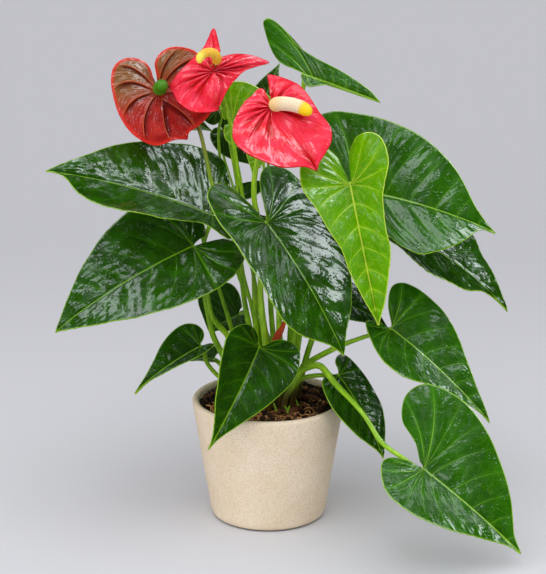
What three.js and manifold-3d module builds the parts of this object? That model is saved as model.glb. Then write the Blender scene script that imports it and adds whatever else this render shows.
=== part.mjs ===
// A potted anthurium: heart-shaped leaves and three red flowers on long stalks, rooted in bark
// soil in a plain ceramic pot.  Millimetres, +Z up, the pot standing on z = 0 at x = y = 0,
// seen from the front along +Y.
import * as THREE from 'three';
import { mergeVertices } from 'three/addons/utils/BufferGeometryUtils.js';
import Module from 'manifold-3d';

const wasm = await Module();
wasm.setup();

// ---------------------------------------------------------------- driving dimensions
const GAP = 0.3;                 // clearance kept between touching pieces

const POT_HEIGHT = 112;
const POT_RIM_RADIUS = 70;
const POT_FOOT_RADIUS = 52;      // where the straight side would meet the floor
const POT_WALL = 6;
const POT_FOOT_ROUNDING = 6;
const POT_FLOOR = 8;
const POT_SIDES = 44;

const SOIL_LEVEL = 103;          // mean height of the soil's top
const SOIL_RELIEF = 2.2;         // height of its lumps
const SOIL_RINGS = 7;
const SOIL_SIDES = 32;

const BLADE_THICKNESS = 0.8;
const MARGIN_STEPS = [2, 3, 5];  // points on each piece of a blade's margin
const RAY_STEPS = 3;             // steps from the midrib out to the margin

const STALK_SIDES = 6;
const STALK_DEPTH = 16;          // how deep a stalk stands in the soil
const STALK_SEAT = 0.4;          // room under a blade for its arched midrib
const NECK_LENGTH = 5;           // last straight stretch of a stalk, square to its blade

const SPADIX_RINGS = 18;
const SPADIX_SIDES = 14;

// ---------------------------------------------------------------- materials
const material = (color, roughness, metalness = 0) =>
  new THREE.MeshStandardMaterial({ color, roughness, metalness, side: THREE.DoubleSide });

const darkLeaf = material(0x1f5a26, 0.3);
const limeLeaf = material(0x86b52a, 0.35);
const backLeaf = material(0x245539, 0.4);
const greenStalk = material(0x7fa62e, 0.45);
const redSpathe = material(0xc41a2a, 0.2);
const darkSpathe = material(0x6d2a22, 0.25);
const yellowSpadix = material(0xf2c63c, 0.6);
const greenSpadix = material(0x5d8f2a, 0.6);
const potClay = material(0xe0cdb0, 0.7);
const soilBark = material(0x2c1d13, 0.95);

// ---------------------------------------------------------------- small helpers
const vec = ([x, y, z]) => new THREE.Vector3(x, y, z);

/** Closed geometry from a flat list of points and a list of triangles. */
function solidGeometry(points, triangles) {
  const geometry = new THREE.BufferGeometry();
  const numbers = points.flatMap((point) => point.toArray());
  geometry.setAttribute('position', new THREE.Float32BufferAttribute(numbers, 3));
  geometry.setIndex(triangles.flat());
  geometry.computeVertexNormals();
  return geometry;
}

/** Point of a cubic Bezier curve through four [along, across] pairs. */
function cubic([a, b, c, d], t) {
  const s = 1 - t;
  const blend = (i) => s * s * s * a[i] + 3 * s * s * t * b[i] + 3 * s * t * t * c[i] + t * t * t * d[i];
  return [blend(0), blend(1)];
}

// ---------------------------------------------------------------- heart-shaped blades
/**
 * Margin of one half of a heart-shaped blade, as [along, across] points in millimetres: round the
 * lobe behind the stalk, out to the widest place, and on to the drawn-out tip.
 */
function heartMargin({ length, width, lobe, sinus, full }) {
  const widest = [0.1 * length, width];
  const back = [-lobe, 0.46 * width];
  const pieces = [
    [[-0.78 * lobe, sinus * width], [-0.93 * lobe, (sinus + 0.06) * width], [-lobe, 0.27 * width], back],
    [back, [-lobe, 0.74 * width], [widest[0] - 0.45 * (widest[0] + lobe), width], widest],
    [widest, [0.46 * length, width], [0.8 * length, full * width], [length, 0]],
  ];
  return pieces.flatMap((piece, index) => {
    const first = index === 0 ? 0 : 1;
    const count = MARGIN_STEPS[index] + 1 - first;
    return Array.from({ length: count }, (_, i) => cubic(piece, (i + first) / MARGIN_STEPS[index]));
  });
}

/** Where the side veins leave the midrib: shared by both halves, so that they meet on it. */
function veinRoots(margins, veinSlope) {
  return margins[0].map((_, i) => {
    const [left, right] = margins.map((margin) => Math.max(0, margin[i][0] - veinSlope * margin[i][1]));
    return (left + right) / 2;
  });
}

/** The rays of one half: each runs along a side vein from the midrib to a point of the margin. */
function heartRays(margin, roots) {
  return margin.map(([along, across], i) => {
    const root = roots[i];
    const bend = [root + 0.35 * (along - root), 0.62 * across];
    return Array.from({ length: RAY_STEPS + 1 }, (_, step) => {
      const t = step / RAY_STEPS;
      const s = 1 - t;
      return [
        s * s * root + 2 * s * t * bend[0] + t * t * along,
        2 * s * t * bend[1] + t * t * across,
      ];
    });
  });
}

/** Unit vectors of a blade: its axis from base to tip, and its face square to that axis. */
function bladeFrame(leaf) {
  const axis = vec(leaf.tip).sub(vec(leaf.base));
  const length = axis.length();
  axis.divideScalar(length);
  const face = vec(leaf.face);
  face.addScaledVector(axis, -face.dot(axis)).normalize();
  return { axis, face, length };
}

/**
 * A function that carries a flat blade point [along, across] to its place in space.  The midrib
 * is a shallow arch from base to tip, bow high; each half rises from it by its fold, which may
 * change towards the tip.
 */
function bladeShape(leaf) {
  const { axis, face, length } = bladeFrame(leaf);
  const left = new THREE.Vector3().crossVectors(face, axis);
  const foldTip = leaf.foldTip ?? leaf.fold;

  return ([along, across], side) => {
    const k = along / length;
    const centre = vec(leaf.base)
      .addScaledVector(axis, along)
      .addScaledVector(face, 4 * leaf.bow * k * (1 - k));
    const slope = (4 * leaf.bow * (1 - 2 * k)) / length;
    const forward = axis.clone().addScaledVector(face, slope).normalize();
    const up = new THREE.Vector3().crossVectors(forward, left);
    const ahead = Math.min(1, Math.max(0, k));
    const fold = THREE.MathUtils.degToRad(leaf.fold[side] + (foldTip[side] - leaf.fold[side]) * ahead);
    const out = across * Math.cos(fold) * (side === 0 ? 1 : -1);
    return centre.addScaledVector(left, out).addScaledVector(up, across * Math.sin(fold));
  };
}

/** Closes an open sheet into a solid: a second skin below it and a wall round its edge. */
function thicken(points, triangles, thickness) {
  const normals = solidGeometry(points, triangles).getAttribute('normal');
  const count = points.length;
  const below = points.map((point, i) =>
    point.clone().addScaledVector(new THREE.Vector3().fromBufferAttribute(normals, i), -thickness));
  const edges = new Map();
  for (const [a, b, c] of triangles) {
    for (const [from, to] of [[a, b], [b, c], [c, a]]) {
      if (edges.has(`${to},${from}`)) edges.delete(`${to},${from}`);
      else edges.set(`${from},${to}`, [from, to]);
    }
  }
  const under = triangles.map(([a, b, c]) => [c + count, b + count, a + count]);
  const wall = [...edges.values()].flatMap(([a, b]) => [[b, a, a + count], [b, a + count, b + count]]);
  return solidGeometry([...points, ...below], [...triangles, ...under, ...wall]);
}

/** The solid blade of a leaf or a spathe. */
function heartBlade(leaf) {
  const { length } = bladeFrame(leaf);
  const { sinus = 0.08, full = [0.13, 0.13], veinSlope = 0.75, outline = [] } = leaf;
  const place = bladeShape(leaf);
  const points = [];
  const index = new Map();
  const vertex = (point) => {
    const key = point.toArray().map((value) => value.toFixed(3)).join();
    if (!index.has(key)) {
      index.set(key, points.length);
      points.push(point);
    }
    return index.get(key);
  };
  const triangles = [];
  const add = (a, b, c, side) => {
    if (a === b || b === c || c === a) return;
    triangles.push(side === 0 ? [a, c, b] : [a, b, c]);
  };
  const margins = [0, 1].map((side) => {
    if (outline[side]) return [...outline[side], [length, 0]];
    return heartMargin({ length, width: leaf.width[side], lobe: leaf.lobe[side], sinus, full: full[side] });
  });
  const roots = veinRoots(margins, veinSlope);
  for (const side of [0, 1]) {
    const grid = heartRays(margins[side], roots).map((ray) => ray.map((flat) => vertex(place(flat, side))));
    for (let ray = 0; ray + 1 < grid.length; ray++) {
      for (let step = 0; step < RAY_STEPS; step++) {
        const [a, b] = [grid[ray][step], grid[ray][step + 1]];
        const [d, c] = [grid[ray + 1][step], grid[ray + 1][step + 1]];
        add(a, b, c, side);
        add(a, c, d, side);
      }
    }
  }
  return thicken(points, triangles, BLADE_THICKNESS);
}

// ---------------------------------------------------------------- stalks
/** A stalk of one thickness along a smooth curve through hand-chosen points. */
function stalkGeometry(route, radius, steps) {
  const corners = Array.from({ length: STALK_SIDES }, (_, corner) => {
    const angle = (2 * Math.PI * corner) / STALK_SIDES;
    return new THREE.Vector2(radius * Math.cos(angle), radius * Math.sin(angle));
  });
  const section = new THREE.Shape(corners);
  const extrudePath = new THREE.CatmullRomCurve3(route.map(vec));
  return new THREE.ExtrudeGeometry(section, { steps, extrudePath, bevelEnabled: false });
}

/** The route of a blade's stalk, from its foot in the soil to just under the blade. */
function stalkRoute(leaf) {
  const { axis, face, length } = bladeFrame(leaf);
  const steepest = Math.max(0, -leaf.fold[0], -leaf.fold[1]);
  const lean = Math.tan(THREE.MathUtils.degToRad(steepest)) + (4 * leaf.bow) / length;
  const drop = BLADE_THICKNESS + GAP + STALK_SEAT + leaf.radius * lean;
  const end = vec(leaf.base).addScaledVector(face, -drop);
  const neck = end.clone().addScaledVector(face, -NECK_LENGTH).addScaledVector(axis, -0.3 * NECK_LENGTH);
  const [x, y] = leaf.foot;
  const foot = [[x, y, SOIL_LEVEL - STALK_DEPTH], [x, y, SOIL_LEVEL]];
  return [...foot, ...leaf.stalk, neck.toArray(), end.toArray()];
}

// ---------------------------------------------------------------- spadices
/** A bumpy flower spike along a smooth curve, rounded at both ends. */
function spadixGeometry({ spike, spikeRadius }) {
  const [rings, sides] = [SPADIX_RINGS, SPADIX_SIDES];
  const path = new THREE.CatmullRomCurve3(spike.map(vec));
  const frames = path.computeFrenetFrames(rings, false);
  const points = [path.getPointAt(0)];
  for (let ring = 1; ring < rings; ring++) {
    const t = ring / rings;
    const start = Math.sqrt(1 - (1 - Math.min(1, t / 0.14)) ** 2);
    const end = Math.sqrt(1 - Math.max(0, (t - 0.82) / 0.18) ** 2);
    const swell = Math.min(start, end);
    for (let corner = 0; corner < sides; corner++) {
      const angle = (2 * Math.PI * (corner + (ring % 2) / 2)) / sides;
      const floret = 1 + 0.05 * ((corner + ring) % 2 === 0 ? 1 : -1) * swell;
      const reach = spikeRadius * swell * (1 - 0.12 * t) * floret;
      points.push(path.getPointAt(t)
        .addScaledVector(frames.normals[ring], reach * Math.cos(angle))
        .addScaledVector(frames.binormals[ring], reach * Math.sin(angle)));
    }
  }
  points.push(path.getPointAt(1));
  const last = points.length - 1;
  const at = (ring, corner) => 1 + (ring - 1) * sides + (corner % sides);
  const triangles = [];
  for (let corner = 0; corner < sides; corner++) {
    triangles.push([0, at(1, corner + 1), at(1, corner)]);
    for (let ring = 1; ring + 1 < rings; ring++) {
      triangles.push([at(ring, corner), at(ring, corner + 1), at(ring + 1, corner + 1)]);
      triangles.push([at(ring, corner), at(ring + 1, corner + 1), at(ring + 1, corner)]);
    }
    triangles.push([last, at(rings - 1, corner), at(rings - 1, corner + 1)]);
  }
  return solidGeometry(points, triangles);
}

// ---------------------------------------------------------------- the plant, blade by blade
// base: where the stalk meets the blade; tip: its drawn-out end; face: which way the upper side
// looks.  Every pair is [left half, right half], seen on the upper side with the tip ahead: width
// and lobe in millimetres, fold in degrees, and full, how full the margin stays near the tip.  A
// half whose margin has a form of its own has an outline of [along, across] points instead.
const leaves = [
  { name: 'left_upper', base: [-50, -8, 286], tip: [-193.7, -30, 331.8], face: [0.3, -0.37, 0.88],
    fold: [14, 22], bow: 6, foot: [-15, 0], radius: 1.9,
    outline: [
      [[-12, 3], [-18, 11], [-18, 27], [-12, 37], [4, 29], [14, 25], [35, 38], [59, 46], [81, 52],
       [100, 54], [114, 46], [124, 35], [139, 6]],
      [[-10, 5], [-14, 16], [-14, 28], [-10, 40], [-1, 58], [9, 62], [23, 62], [42, 59], [64, 53],
       [83, 46], [99, 38], [116, 26], [134, 13]],
    ],
    stalk: [[-38, 5, 144], [-50, 9, 167], [-54, 10, 184], [-58, 7, 210], [-58, 0, 255]] },
  { name: 'left_lower', base: [-67, -22, 261], tip: [-188, -55, 192], face: [-0.24, -0.65, 0.72],
    width: [60, 62], lobe: [34, 20], fold: [8, 8], bow: 8, full: [0.32, 0.32], foot: [-9, -9], radius: 1.9,
    stalk: [[-22, -6, 140], [-36, -5, 171], [-50, -8, 190], [-55, -11, 214], [-64, -15, 240]] },
  { name: 'centre', base: [-1, -50, 290], tip: [66, -95, 183], face: [0.62, -0.6, 0.5],
    fold: [8, 8], bow: 6,
    foot: [10, -15], radius: 2,
    outline: [
      [[-3, 3], [-15, 9], [-30, 18], [-42, 30], [-46, 42], [-40, 54], [-22, 60], [0, 58],
       [30, 58], [54, 57], [79, 43], [101, 28], [117, 12]],
      [[-6, 4], [-31, 3], [-46, 8], [-50, 22], [-42, 41], [-20, 51], [12, 54], [45, 55], [68, 57],
       [84, 54], [98, 46], [108, 34], [120, 14]],
    ],
    stalk: [[10, -19, 170], [8, -30, 230], [2, -41, 270]] },
  { name: 'lime', base: [71, -55, 325], tip: [95, -97, 211], face: [-0.1, -0.94, 0.33],
    fold: [35, 22], foldTip: [35, 38], bow: 4, foot: [16, -9], radius: 1.9, look: limeLeaf,
    outline: [
      [[-26, 5], [-37, 16], [-37, 30], [-30, 40], [-20, 44], [-6, 44], [20, 32], [46, 28], [61, 28],
       [81, 22], [106, 11]],
      [[-23, 6], [-33, 14], [-37, 25], [-30, 36], [-18, 42], [0, 43], [18, 35], [39, 27], [55, 20],
       [77, 16], [100, 9]],
    ],
    stalk: [[22, -6, 168], [36, -3, 225], [46, -8, 262], [50, -11, 288], [56, -30, 304], [65, -46, 317]] },
  { name: 'right_upper', base: [74, -5, 309], tip: [200, -35, 277], face: [0.04, -0.66, 0.75],
    fold: [24, 2], bow: 8, foot: [21, 0], radius: 2,
    outline: [
      [[-8, 6], [-25, 14], [-42, 28], [-50, 44], [-46, 60], [-32, 68], [-15, 69], [21, 66],
       [52, 57], [83, 39], [108, 15], [124, 4]],
      [[-4, 5], [-7, 13], [-7, 24], [0, 34], [18, 39], [47, 42], [60, 48], [78, 51], [90, 43],
       [99, 35], [110, 21], [120, 4]],
    ],
    stalk: [[29, 6, 173], [50, 10, 248], [69, 3, 294]] },
  { name: 'right_behind', base: [106, 30, 269], tip: [219, 10, 192], face: [0.5, -0.3, 0.81],
    fold: [9, 9], bow: 8, foot: [26, 7], radius: 1.8,
    outline: [
      [[-23, 4], [-29, 13], [-29, 26], [-18, 42], [14, 50], [45, 52], [75, 49], [92, 34],
       [110, 20], [128, 8]],
      [[-23, 4], [-29, 13], [-27, 26], [-8, 37], [21, 43], [39, 54], [56, 60], [75, 53], [94, 36],
       [115, 8]],
    ],
    stalk: [[41, 14, 165], [72, 25, 220], [98, 33, 258]] },
  { name: 'right_middle', base: [110, -20, 184], tip: [197, -62, 110], face: [0.29, -0.64, 0.71],
    fold: [24, 20], bow: 6, foot: [22, -7], radius: 1.7,
    outline: [
      [[-3, 4], [-15, 15], [-21, 25], [-23, 33], [-19, 40], [-8, 44], [20, 43], [38, 38],
       [54, 31], [73, 21], [92, 12], [107, 6]],
      [[-8, 3], [-15, 4], [-19, 11], [-17, 17], [-7, 28], [13, 43], [29, 50], [42, 48], [51, 39],
       [62, 26], [86, 13], [106, 4]],
    ],
    stalk: [[32, -6, 144], [39, -7, 149], [58, -11, 161], [71, -14, 168], [90, -17, 176]] },
  { name: 'right_front', base: [136, -104, 82], tip: [220, -134, 15.1], face: [0.22, -0.76, 0.61],
    fold: [26, 30], bow: 4, foot: [14, -20], radius: 2,
    outline: [
      [[-7, 3], [-20, 14], [-40, 23], [-49, 43], [-41, 61], [-11, 68], [19, 61], [49, 45],
       [63, 36], [75, 27], [87, 16], [97, 7]],
      [[-8, 4], [-18, 5], [-26, 12], [-29, 22], [-26, 35], [-8, 58], [5, 62], [20, 60], [36, 52],
       [54, 41], [74, 23], [95, 6]],
    ],
    stalk: [[15, -19, 116], [22, -19, 129], [29, -20, 143], [38, -23, 149], [46, -27, 151], [52, -33, 147],
      [60, -42, 139], [72, -58, 131], [85, -73, 120], [100, -90, 101], [118, -99, 90]] },
  { name: 'right_inner', base: [64, -15, 138], tip: [104, -50, 71], face: [0.59, -0.48, 0.65],
    fold: [4, 4], bow: 4, foot: [20, -14], radius: 1.3,
    outline: [
      [[-4, 4], [-13, 7], [-17, 13], [-18, 19], [-14, 24], [-2, 27], [10, 28], [26, 27], [39, 26],
       [52, 21], [63, 15], [74, 8]],
      [[-2, 4], [-3, 10], [-3, 18], [0, 25], [8, 31], [19, 35], [30, 35], [41, 32], [50, 28],
       [58, 23], [67, 15], [77, 5]],
    ],
    stalk: [[23, -13, 124], [31, -13, 134], [46, -13, 137], [56, -11, 136]] },
  { name: 'front', base: [-8, -42, 173], tip: [-52, -92, 95], face: [0.38, -0.86, 0.34],
    fold: [20, 24], bow: 5, foot: [1, -21], radius: 1.6,
    outline: [
      [[-4, 4], [-12, 10], [-16, 19], [-16, 27], [-11, 35], [-3, 38], [6, 40], [18, 39], [43, 29],
       [56, 22], [68, 15], [91, 3]],
      [[-2, 3], [-8, 6], [-11, 12], [-10, 22], [-4, 31], [5, 38], [14, 40], [37, 34], [50, 27],
       [63, 20], [75, 12], [93, 3]],
    ],
    stalk: [[0, -26, 135], [-4, -33, 158]] },
  { name: 'left_small', base: [-62, 5, 159], tip: [-122, -10, 119], face: [-0.36, -0.57, 0.74],
    fold: [30, 31], bow: 4, foot: [-17, 8], radius: 1.3,
    outline: [
      [[-5, 2], [-9, 4], [-10, 10], [-5, 16], [3, 19], [14, 20], [27, 16], [41, 10], [54, 4]],
      [[-2, 2], [-7, 6], [-9, 12], [-6, 20], [2, 25], [12, 25], [27, 20], [43, 11], [56, 5]],
    ],
    stalk: [[-30, 8, 118], [-46, 6, 130], [-57, 6, 145]] },
  { name: 'left_low_back', base: [-50.8, 38, 135.9], tip: [-73.2, 50, 130.1], face: [-0.3, -0.6, 0.75],
    fold: [10, 10], bow: 3, foot: [-14, 20], radius: 1.2, look: backLeaf,
    outline: [
      [[-1, 1], [-2, 3], [2, 4], [7, 4], [13, 3], [19, 2]],
      [[-1, 4], [-4, 9], [-3, 12], [4, 12], [10, 10], [17, 5]],
    ],
    stalk: [[-26, 26, 118], [-42, 36, 128]] },
  { name: 'back_left', base: [-27.7, 38, 178.7], tip: [-55.9, 60, 154.4], face: [-0.2, -0.9, 0.4],
    fold: [10, 10], bow: 4, foot: [-8, 14], radius: 1.7, look: backLeaf,
    outline: [
      [[-6, 2], [-7, 7], [-5, 11], [0, 14], [6, 13], [12, 11], [19, 8], [25, 5], [33, 3],
       [39, 1.5]],
      [[-6, 5], [-8, 16], [-7, 25], [-3, 31], [5, 33], [16, 33], [29, 33], [35, 27], [38, 18],
       [41, 8]],
    ],
    stalk: [[-10, 24, 140], [-20, 36, 166]] },
  { name: 'back_right', base: [54, 46, 193], tip: [114, 62, 157], face: [0.1, -0.5, 0.85],
    width: [28, 24], lobe: [14, 14], fold: [10, 10], bow: 5, foot: [14, 15], radius: 1.7, look: backLeaf,
    stalk: [[20, 24, 150], [44, 42, 184]] },
  { name: 'top_right', base: [31, 12, 409], tip: [97, -28, 392], face: [-0.4, -0.79, 0.47],
    fold: [10, 20], bow: 2, foot: [10, 4], radius: 1.8,
    outline: [
      [[-4, 1], [-28, 3], [-43, 13], [-55, 26], [-59, 33], [-55, 37], [-46, 36], [-31, 30],
       [-16, 22], [5, 17], [36, 13], [67, 6]],
      [[-2, 2], [1, 5], [5, 8], [9, 10], [13, 10], [18, 7], [24, 3], [32, 2], [42, 1.5],
       [52, 1.5], [60, 1.5], [68, 1.2]],
    ],
    stalk: [[2, 12, 198], [0, 20, 264], [9, 22, 320], [21, 20, 362], [30, 17, 390]] },
  { name: 'top_middle', base: [-31, 30, 362], tip: [25, 50, 361], face: [0, -0.9, 0.45],
    width: [36, 26], lobe: [10, 10], fold: [8, 8], bow: 3, foot: [-7, 3], radius: 1.5, look: limeLeaf,
    stalk: [[-12, 6, 180], [-23, 9, 230], [-27, 16, 275], [-28, 22, 305], [-32, 26, 330], [-35, 31, 347]] },
  { name: 'top_back', base: [-6, 62, 368], tip: [10, 78, 406], face: [-0.3, -0.9, 0],
    width: [14, 14], lobe: [8, 8], fold: [20, 20], bow: 2, foot: [4, 11], radius: 1.2, look: backLeaf,
    stalk: [[3, 16, 200], [-2, 30, 290], [-6, 58, 350]] },
  { name: 'top_hidden', base: [-45, 54, 369], tip: [-57, 74, 400], face: [-0.2, -0.95, 0.2],
    width: [18, 18], lobe: [12, 12], fold: [10, 10], bow: 2, foot: [-1, 7], radius: 1.4, look: backLeaf,
    stalk: [[-6, 10, 160], [-14, 13, 194], [-28, 20, 224], [-34, 30, 273], [-41, 38, 305], [-45, 50, 345]] },
  { name: 'top_left', base: [-99, 50, 367], tip: [-50, 42, 351], face: [0.1, -0.8, 0.6],
    width: [18, 18], lobe: [14, 14], fold: [12, 12], bow: 3, foot: [-20, 14], radius: 1.5, look: backLeaf,
    stalk: [[-30, 10, 160], [-46, 14, 215], [-70, 26, 285], [-90, 40, 330], [-98, 50, 350]] },
  { name: 'inner_high', base: [-4, 12, 353], tip: [-14, 4, 318], face: [-0.3, -0.9, 0.2],
    width: [15, 15], lobe: [8, 8], fold: [12, 12], bow: 2, foot: [16, 6], radius: 1.2, look: limeLeaf,
    stalk: [[9, 10, 200], [5, 10, 290], [-1, 14, 336]] },
  { name: 'inner_dark', base: [-40, 70, 344], tip: [-6, 85, 306], face: [-0.1, -0.8, 0.55],
    width: [18, 18], lobe: [10, 10], fold: [8, 8], bow: 2, foot: [-4, 20], radius: 1.2, look: backLeaf,
    stalk: [[-5, 20, 170], [-13, 24, 220], [-26, 38, 280], [-42, 80, 322]] },
  { name: 'back_wide_left', base: [-34, 68, 280], tip: [-120, 150, 215], face: [-0.3, 0.2, 0.9],
    width: [44, 48], lobe: [20, 20], fold: [10, 10], bow: 10, foot: [-13, 10], radius: 1.9, look: backLeaf,
    stalk: [[-15, 10, 160], [-22, 18, 200], [-30, 52, 255]] },
  { name: 'back_wide_right', base: [38, 62, 283], tip: [96, 168, 220], face: [0.3, 0.2, 0.9],
    width: [48, 46], lobe: [22, 22], fold: [10, 10], bow: 10, foot: [20, 22], radius: 1.9, look: backLeaf,
    stalk: [[21, 34, 170], [34, 54, 250]] },
  { name: 'back_middle', base: [5, 68, 262], tip: [-5, 165, 195], face: [0, 0.45, 0.9],
    width: [34, 34], lobe: [16, 16], fold: [10, 10], bow: 10, foot: [7, 20], radius: 1.9, look: backLeaf,
    stalk: [[10, 34, 170], [9, 54, 230]] },
];

const flowers = [
  { name: 'left', base: [-97, 10, 393], tip: [-71, -5, 354], face: [0.06, -0.92, 0.39],
    fold: [15, 15], bow: 0, veinSlope: 3, foot: [8, -9], radius: 1.8,
    outline: [
      [[-13, 7], [-23, 11], [-28, 19], [-28, 29], [-22, 39], [-12, 47], [8, 49], [24, 44],
       [36, 36], [42, 27], [45, 14], [45, 4]],
      [[-14, -4], [-20, -6], [-28, -6], [-35, -1], [-40, 8], [-40, 20], [-31, 30], [-16, 37],
       [6, 42], [26, 39], [41, 27], [45, 8]],
    ],
    stalk: [[6, -5, 150], [-5, -6, 184], [-14, -9, 235], [-22, -18, 280], [-38, -17, 300], [-49, -13, 315],
      [-55, -4, 339], [-64, 10, 366], [-80, 20, 382]],
    spike: [[-96, 8, 394], [-95, 3, 398], [-93, -8, 402], [-92, -22, 405]], spikeRadius: 6,
    look: darkSpathe, spikeLook: greenSpadix },
  { name: 'middle', base: [-48, -15, 422], tip: [-43, -36, 387], face: [-0.11, -0.86, 0.49],
    fold: [-25, -15], bow: 0, veinSlope: 3, foot: [-2, -7], radius: 1.8,
    outline: [
      [[-8, 8], [-11, 22], [-10, 36], [-3, 53], [0, 44], [6, 28], [12, 21], [18, 15], [28, 8], [38, 2]],
      [[-12, -8], [-33, -5], [-18, 8], [-10, 20], [2, 36], [9, 43], [17, 40], [27, 35], [37, 24], [41, 8]],
    ],
    stalk: [[-9, -1, 160], [-12, 0, 198], [-14, 0, 239], [-19, -2, 276], [-24, -4, 311], [-28, -5, 334],
      [-34, -5, 371], [-41, -3, 396]],
    spike: [[-46, -17.1, 423.5], [-44, -21, 429], [-47, -24, 434], [-53, -27, 435], [-58, -31, 432],
      [-59, -34, 427]],
    spikeRadius: 4.1, look: redSpathe, spikeLook: yellowSpadix },
  { name: 'right', base: [3, -50, 392], tip: [42, -80, 344], face: [0.16, -0.78, 0.61],
    fold: [16, 10], bow: 0, veinSlope: 3, foot: [4, -14], radius: 2.4,
    outline: [
      [[-5, 4], [-15, 9], [-26, 14], [-22, 19], [-11, 27], [-3, 31], [10, 32], [26, 31], [44, 31],
       [54, 25], [60, 15], [65, 4]],
      [[-8, -2], [-18, -5.5], [-21, -2], [-18, 8], [-16, 17], [-9, 31], [2, 44], [11, 49],
       [27, 46], [40, 37], [52, 26], [61, 8]],
    ],
    stalk: [[-2, -15, 168], [-6, -17, 201], [-7, -19, 223], [-6, -26, 257], [-9, -37, 291], [-12, -42, 308],
      [-12, -43, 325], [-9, -42, 345], [-2, -40, 373]],
    spike: [[3.9, -51.2, 392.4], [8, -56, 396], [17, -60, 397], [28, -64, 395], [37, -69, 390.5]],
    spikeRadius: 6.2,
    look: redSpathe, spikeLook: yellowSpadix },
];

// ---------------------------------------------------------------- pot and soil
/** Inner wall radius of the pot at a height. */
function potInside(z) {
  return POT_FOOT_RADIUS + ((POT_RIM_RADIUS - POT_FOOT_RADIUS) * z) / POT_HEIGHT - POT_WALL;
}

function potGeometry() {
  const lip = POT_WALL / 2;
  const profile = new THREE.Path();
  const outside = (z) => potInside(z) + POT_WALL;
  profile.moveTo(0, 0);
  profile.lineTo(outside(0) - POT_FOOT_ROUNDING, 0);
  profile.quadraticCurveTo(outside(0), 0, outside(POT_FOOT_ROUNDING), POT_FOOT_ROUNDING);
  profile.lineTo(outside(POT_HEIGHT - lip), POT_HEIGHT - lip);
  profile.absarc(outside(POT_HEIGHT - lip) - lip, POT_HEIGHT - lip, lip, 0, Math.PI);
  profile.lineTo(potInside(POT_FLOOR), POT_FLOOR);
  profile.lineTo(0, POT_FLOOR);
  const points = profile.getPoints(5).filter((p, i, all) => i === 0 || p.distanceTo(all[i - 1]) > 1e-6);
  return new THREE.LatheGeometry(points, POT_SIDES).rotateX(Math.PI / 2);
}

/** Height of the soil's lumpy top at a place. */
function soilHeight(x, y) {
  const lumps = Math.sin(0.19 * x + 0.6) * Math.cos(0.23 * y) + 0.6 * Math.sin(0.31 * y - 0.27 * x + 1);
  return SOIL_LEVEL + SOIL_RELIEF * 0.6 * lumps;
}

function soilGeometry() {
  const points = [];
  const triangles = [];
  const bottom = POT_FLOOR + GAP;
  const rim = potInside(SOIL_LEVEL - SOIL_RELIEF * 1.5) - GAP - 0.2;
  const ringPoint = (radius, corner, height) => {
    const angle = (2 * Math.PI * corner) / SOIL_SIDES;
    const [x, y] = [radius * Math.cos(angle), radius * Math.sin(angle)];
    points.push(new THREE.Vector3(x, y, height ?? soilHeight(x, y)));
  };
  points.push(new THREE.Vector3(0, 0, soilHeight(0, 0)));
  for (let ring = 1; ring <= SOIL_RINGS; ring++) {
    for (let corner = 0; corner < SOIL_SIDES; corner++) ringPoint((rim * ring) / SOIL_RINGS, corner);
  }
  const foot = potInside(bottom) - GAP - 0.2;
  for (let corner = 0; corner < SOIL_SIDES; corner++) ringPoint(foot, corner, bottom);
  points.push(new THREE.Vector3(0, 0, bottom));
  const last = points.length - 1;
  const at = (ring, corner) => 1 + (ring - 1) * SOIL_SIDES + (corner % SOIL_SIDES);
  for (let corner = 0; corner < SOIL_SIDES; corner++) {
    triangles.push([0, at(1, corner), at(1, corner + 1)]);
    for (let ring = 1; ring <= SOIL_RINGS; ring++) {
      triangles.push([at(ring, corner), at(ring + 1, corner), at(ring + 1, corner + 1)]);
      triangles.push([at(ring, corner), at(ring + 1, corner + 1), at(ring, corner + 1)]);
    }
    triangles.push([last, at(SOIL_RINGS + 1, corner + 1), at(SOIL_RINGS + 1, corner)]);
  }
  return solidGeometry(points, triangles);
}

// ---------------------------------------------------------------- joining and cutting
function toManifold(geometry) {
  const bare = geometry.clone();
  for (const name of Object.keys(bare.attributes)) {
    if (name !== 'position') bare.deleteAttribute(name);
  }
  const merged = mergeVertices(bare, 1e-4);
  const vertProperties = new Float32Array(merged.getAttribute('position').array);
  const triVerts = new Uint32Array(merged.getIndex().array);
  return new wasm.Manifold(new wasm.Mesh({ numProp: 3, vertProperties, triVerts }));
}

function fromManifold(solid) {
  const { vertProperties, triVerts } = solid.getMesh();
  const geometry = new THREE.BufferGeometry();
  geometry.setAttribute('position', new THREE.BufferAttribute(vertProperties, 3));
  geometry.setIndex(new THREE.BufferAttribute(triVerts, 1));
  geometry.computeVertexNormals();
  return geometry;
}

// ---------------------------------------------------------------- assembly
const plant = new THREE.Group();

function addPiece(name, geometry, look) {
  const mesh = new THREE.Mesh(geometry, look);
  mesh.name = name;
  plant.add(mesh);
  return mesh;
}

let soil = toManifold(soilGeometry());
function addStalk(name, blade) {
  const route = stalkRoute(blade);
  const steps = 2 * route.length;
  addPiece(name, stalkGeometry(route, blade.radius, steps), greenStalk);
  soil = soil.subtract(toManifold(stalkGeometry(route, blade.radius + GAP, steps)));
}
for (const leaf of leaves) {
  addPiece(`leaf_${leaf.name}`, heartBlade(leaf), leaf.look ?? darkLeaf);
  addStalk(`leaf_stalk_${leaf.name}`, leaf);
}
for (const flower of flowers) {
  addPiece(`spathe_${flower.name}`, heartBlade(flower), flower.look);
  addPiece(`spadix_${flower.name}`, spadixGeometry(flower), flower.spikeLook);
  addStalk(`flower_stalk_${flower.name}`, flower);
}
addPiece('soil', fromManifold(soil), soilBark);
addPiece('pot', potGeometry(), potClay);

export default plant;
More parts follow.
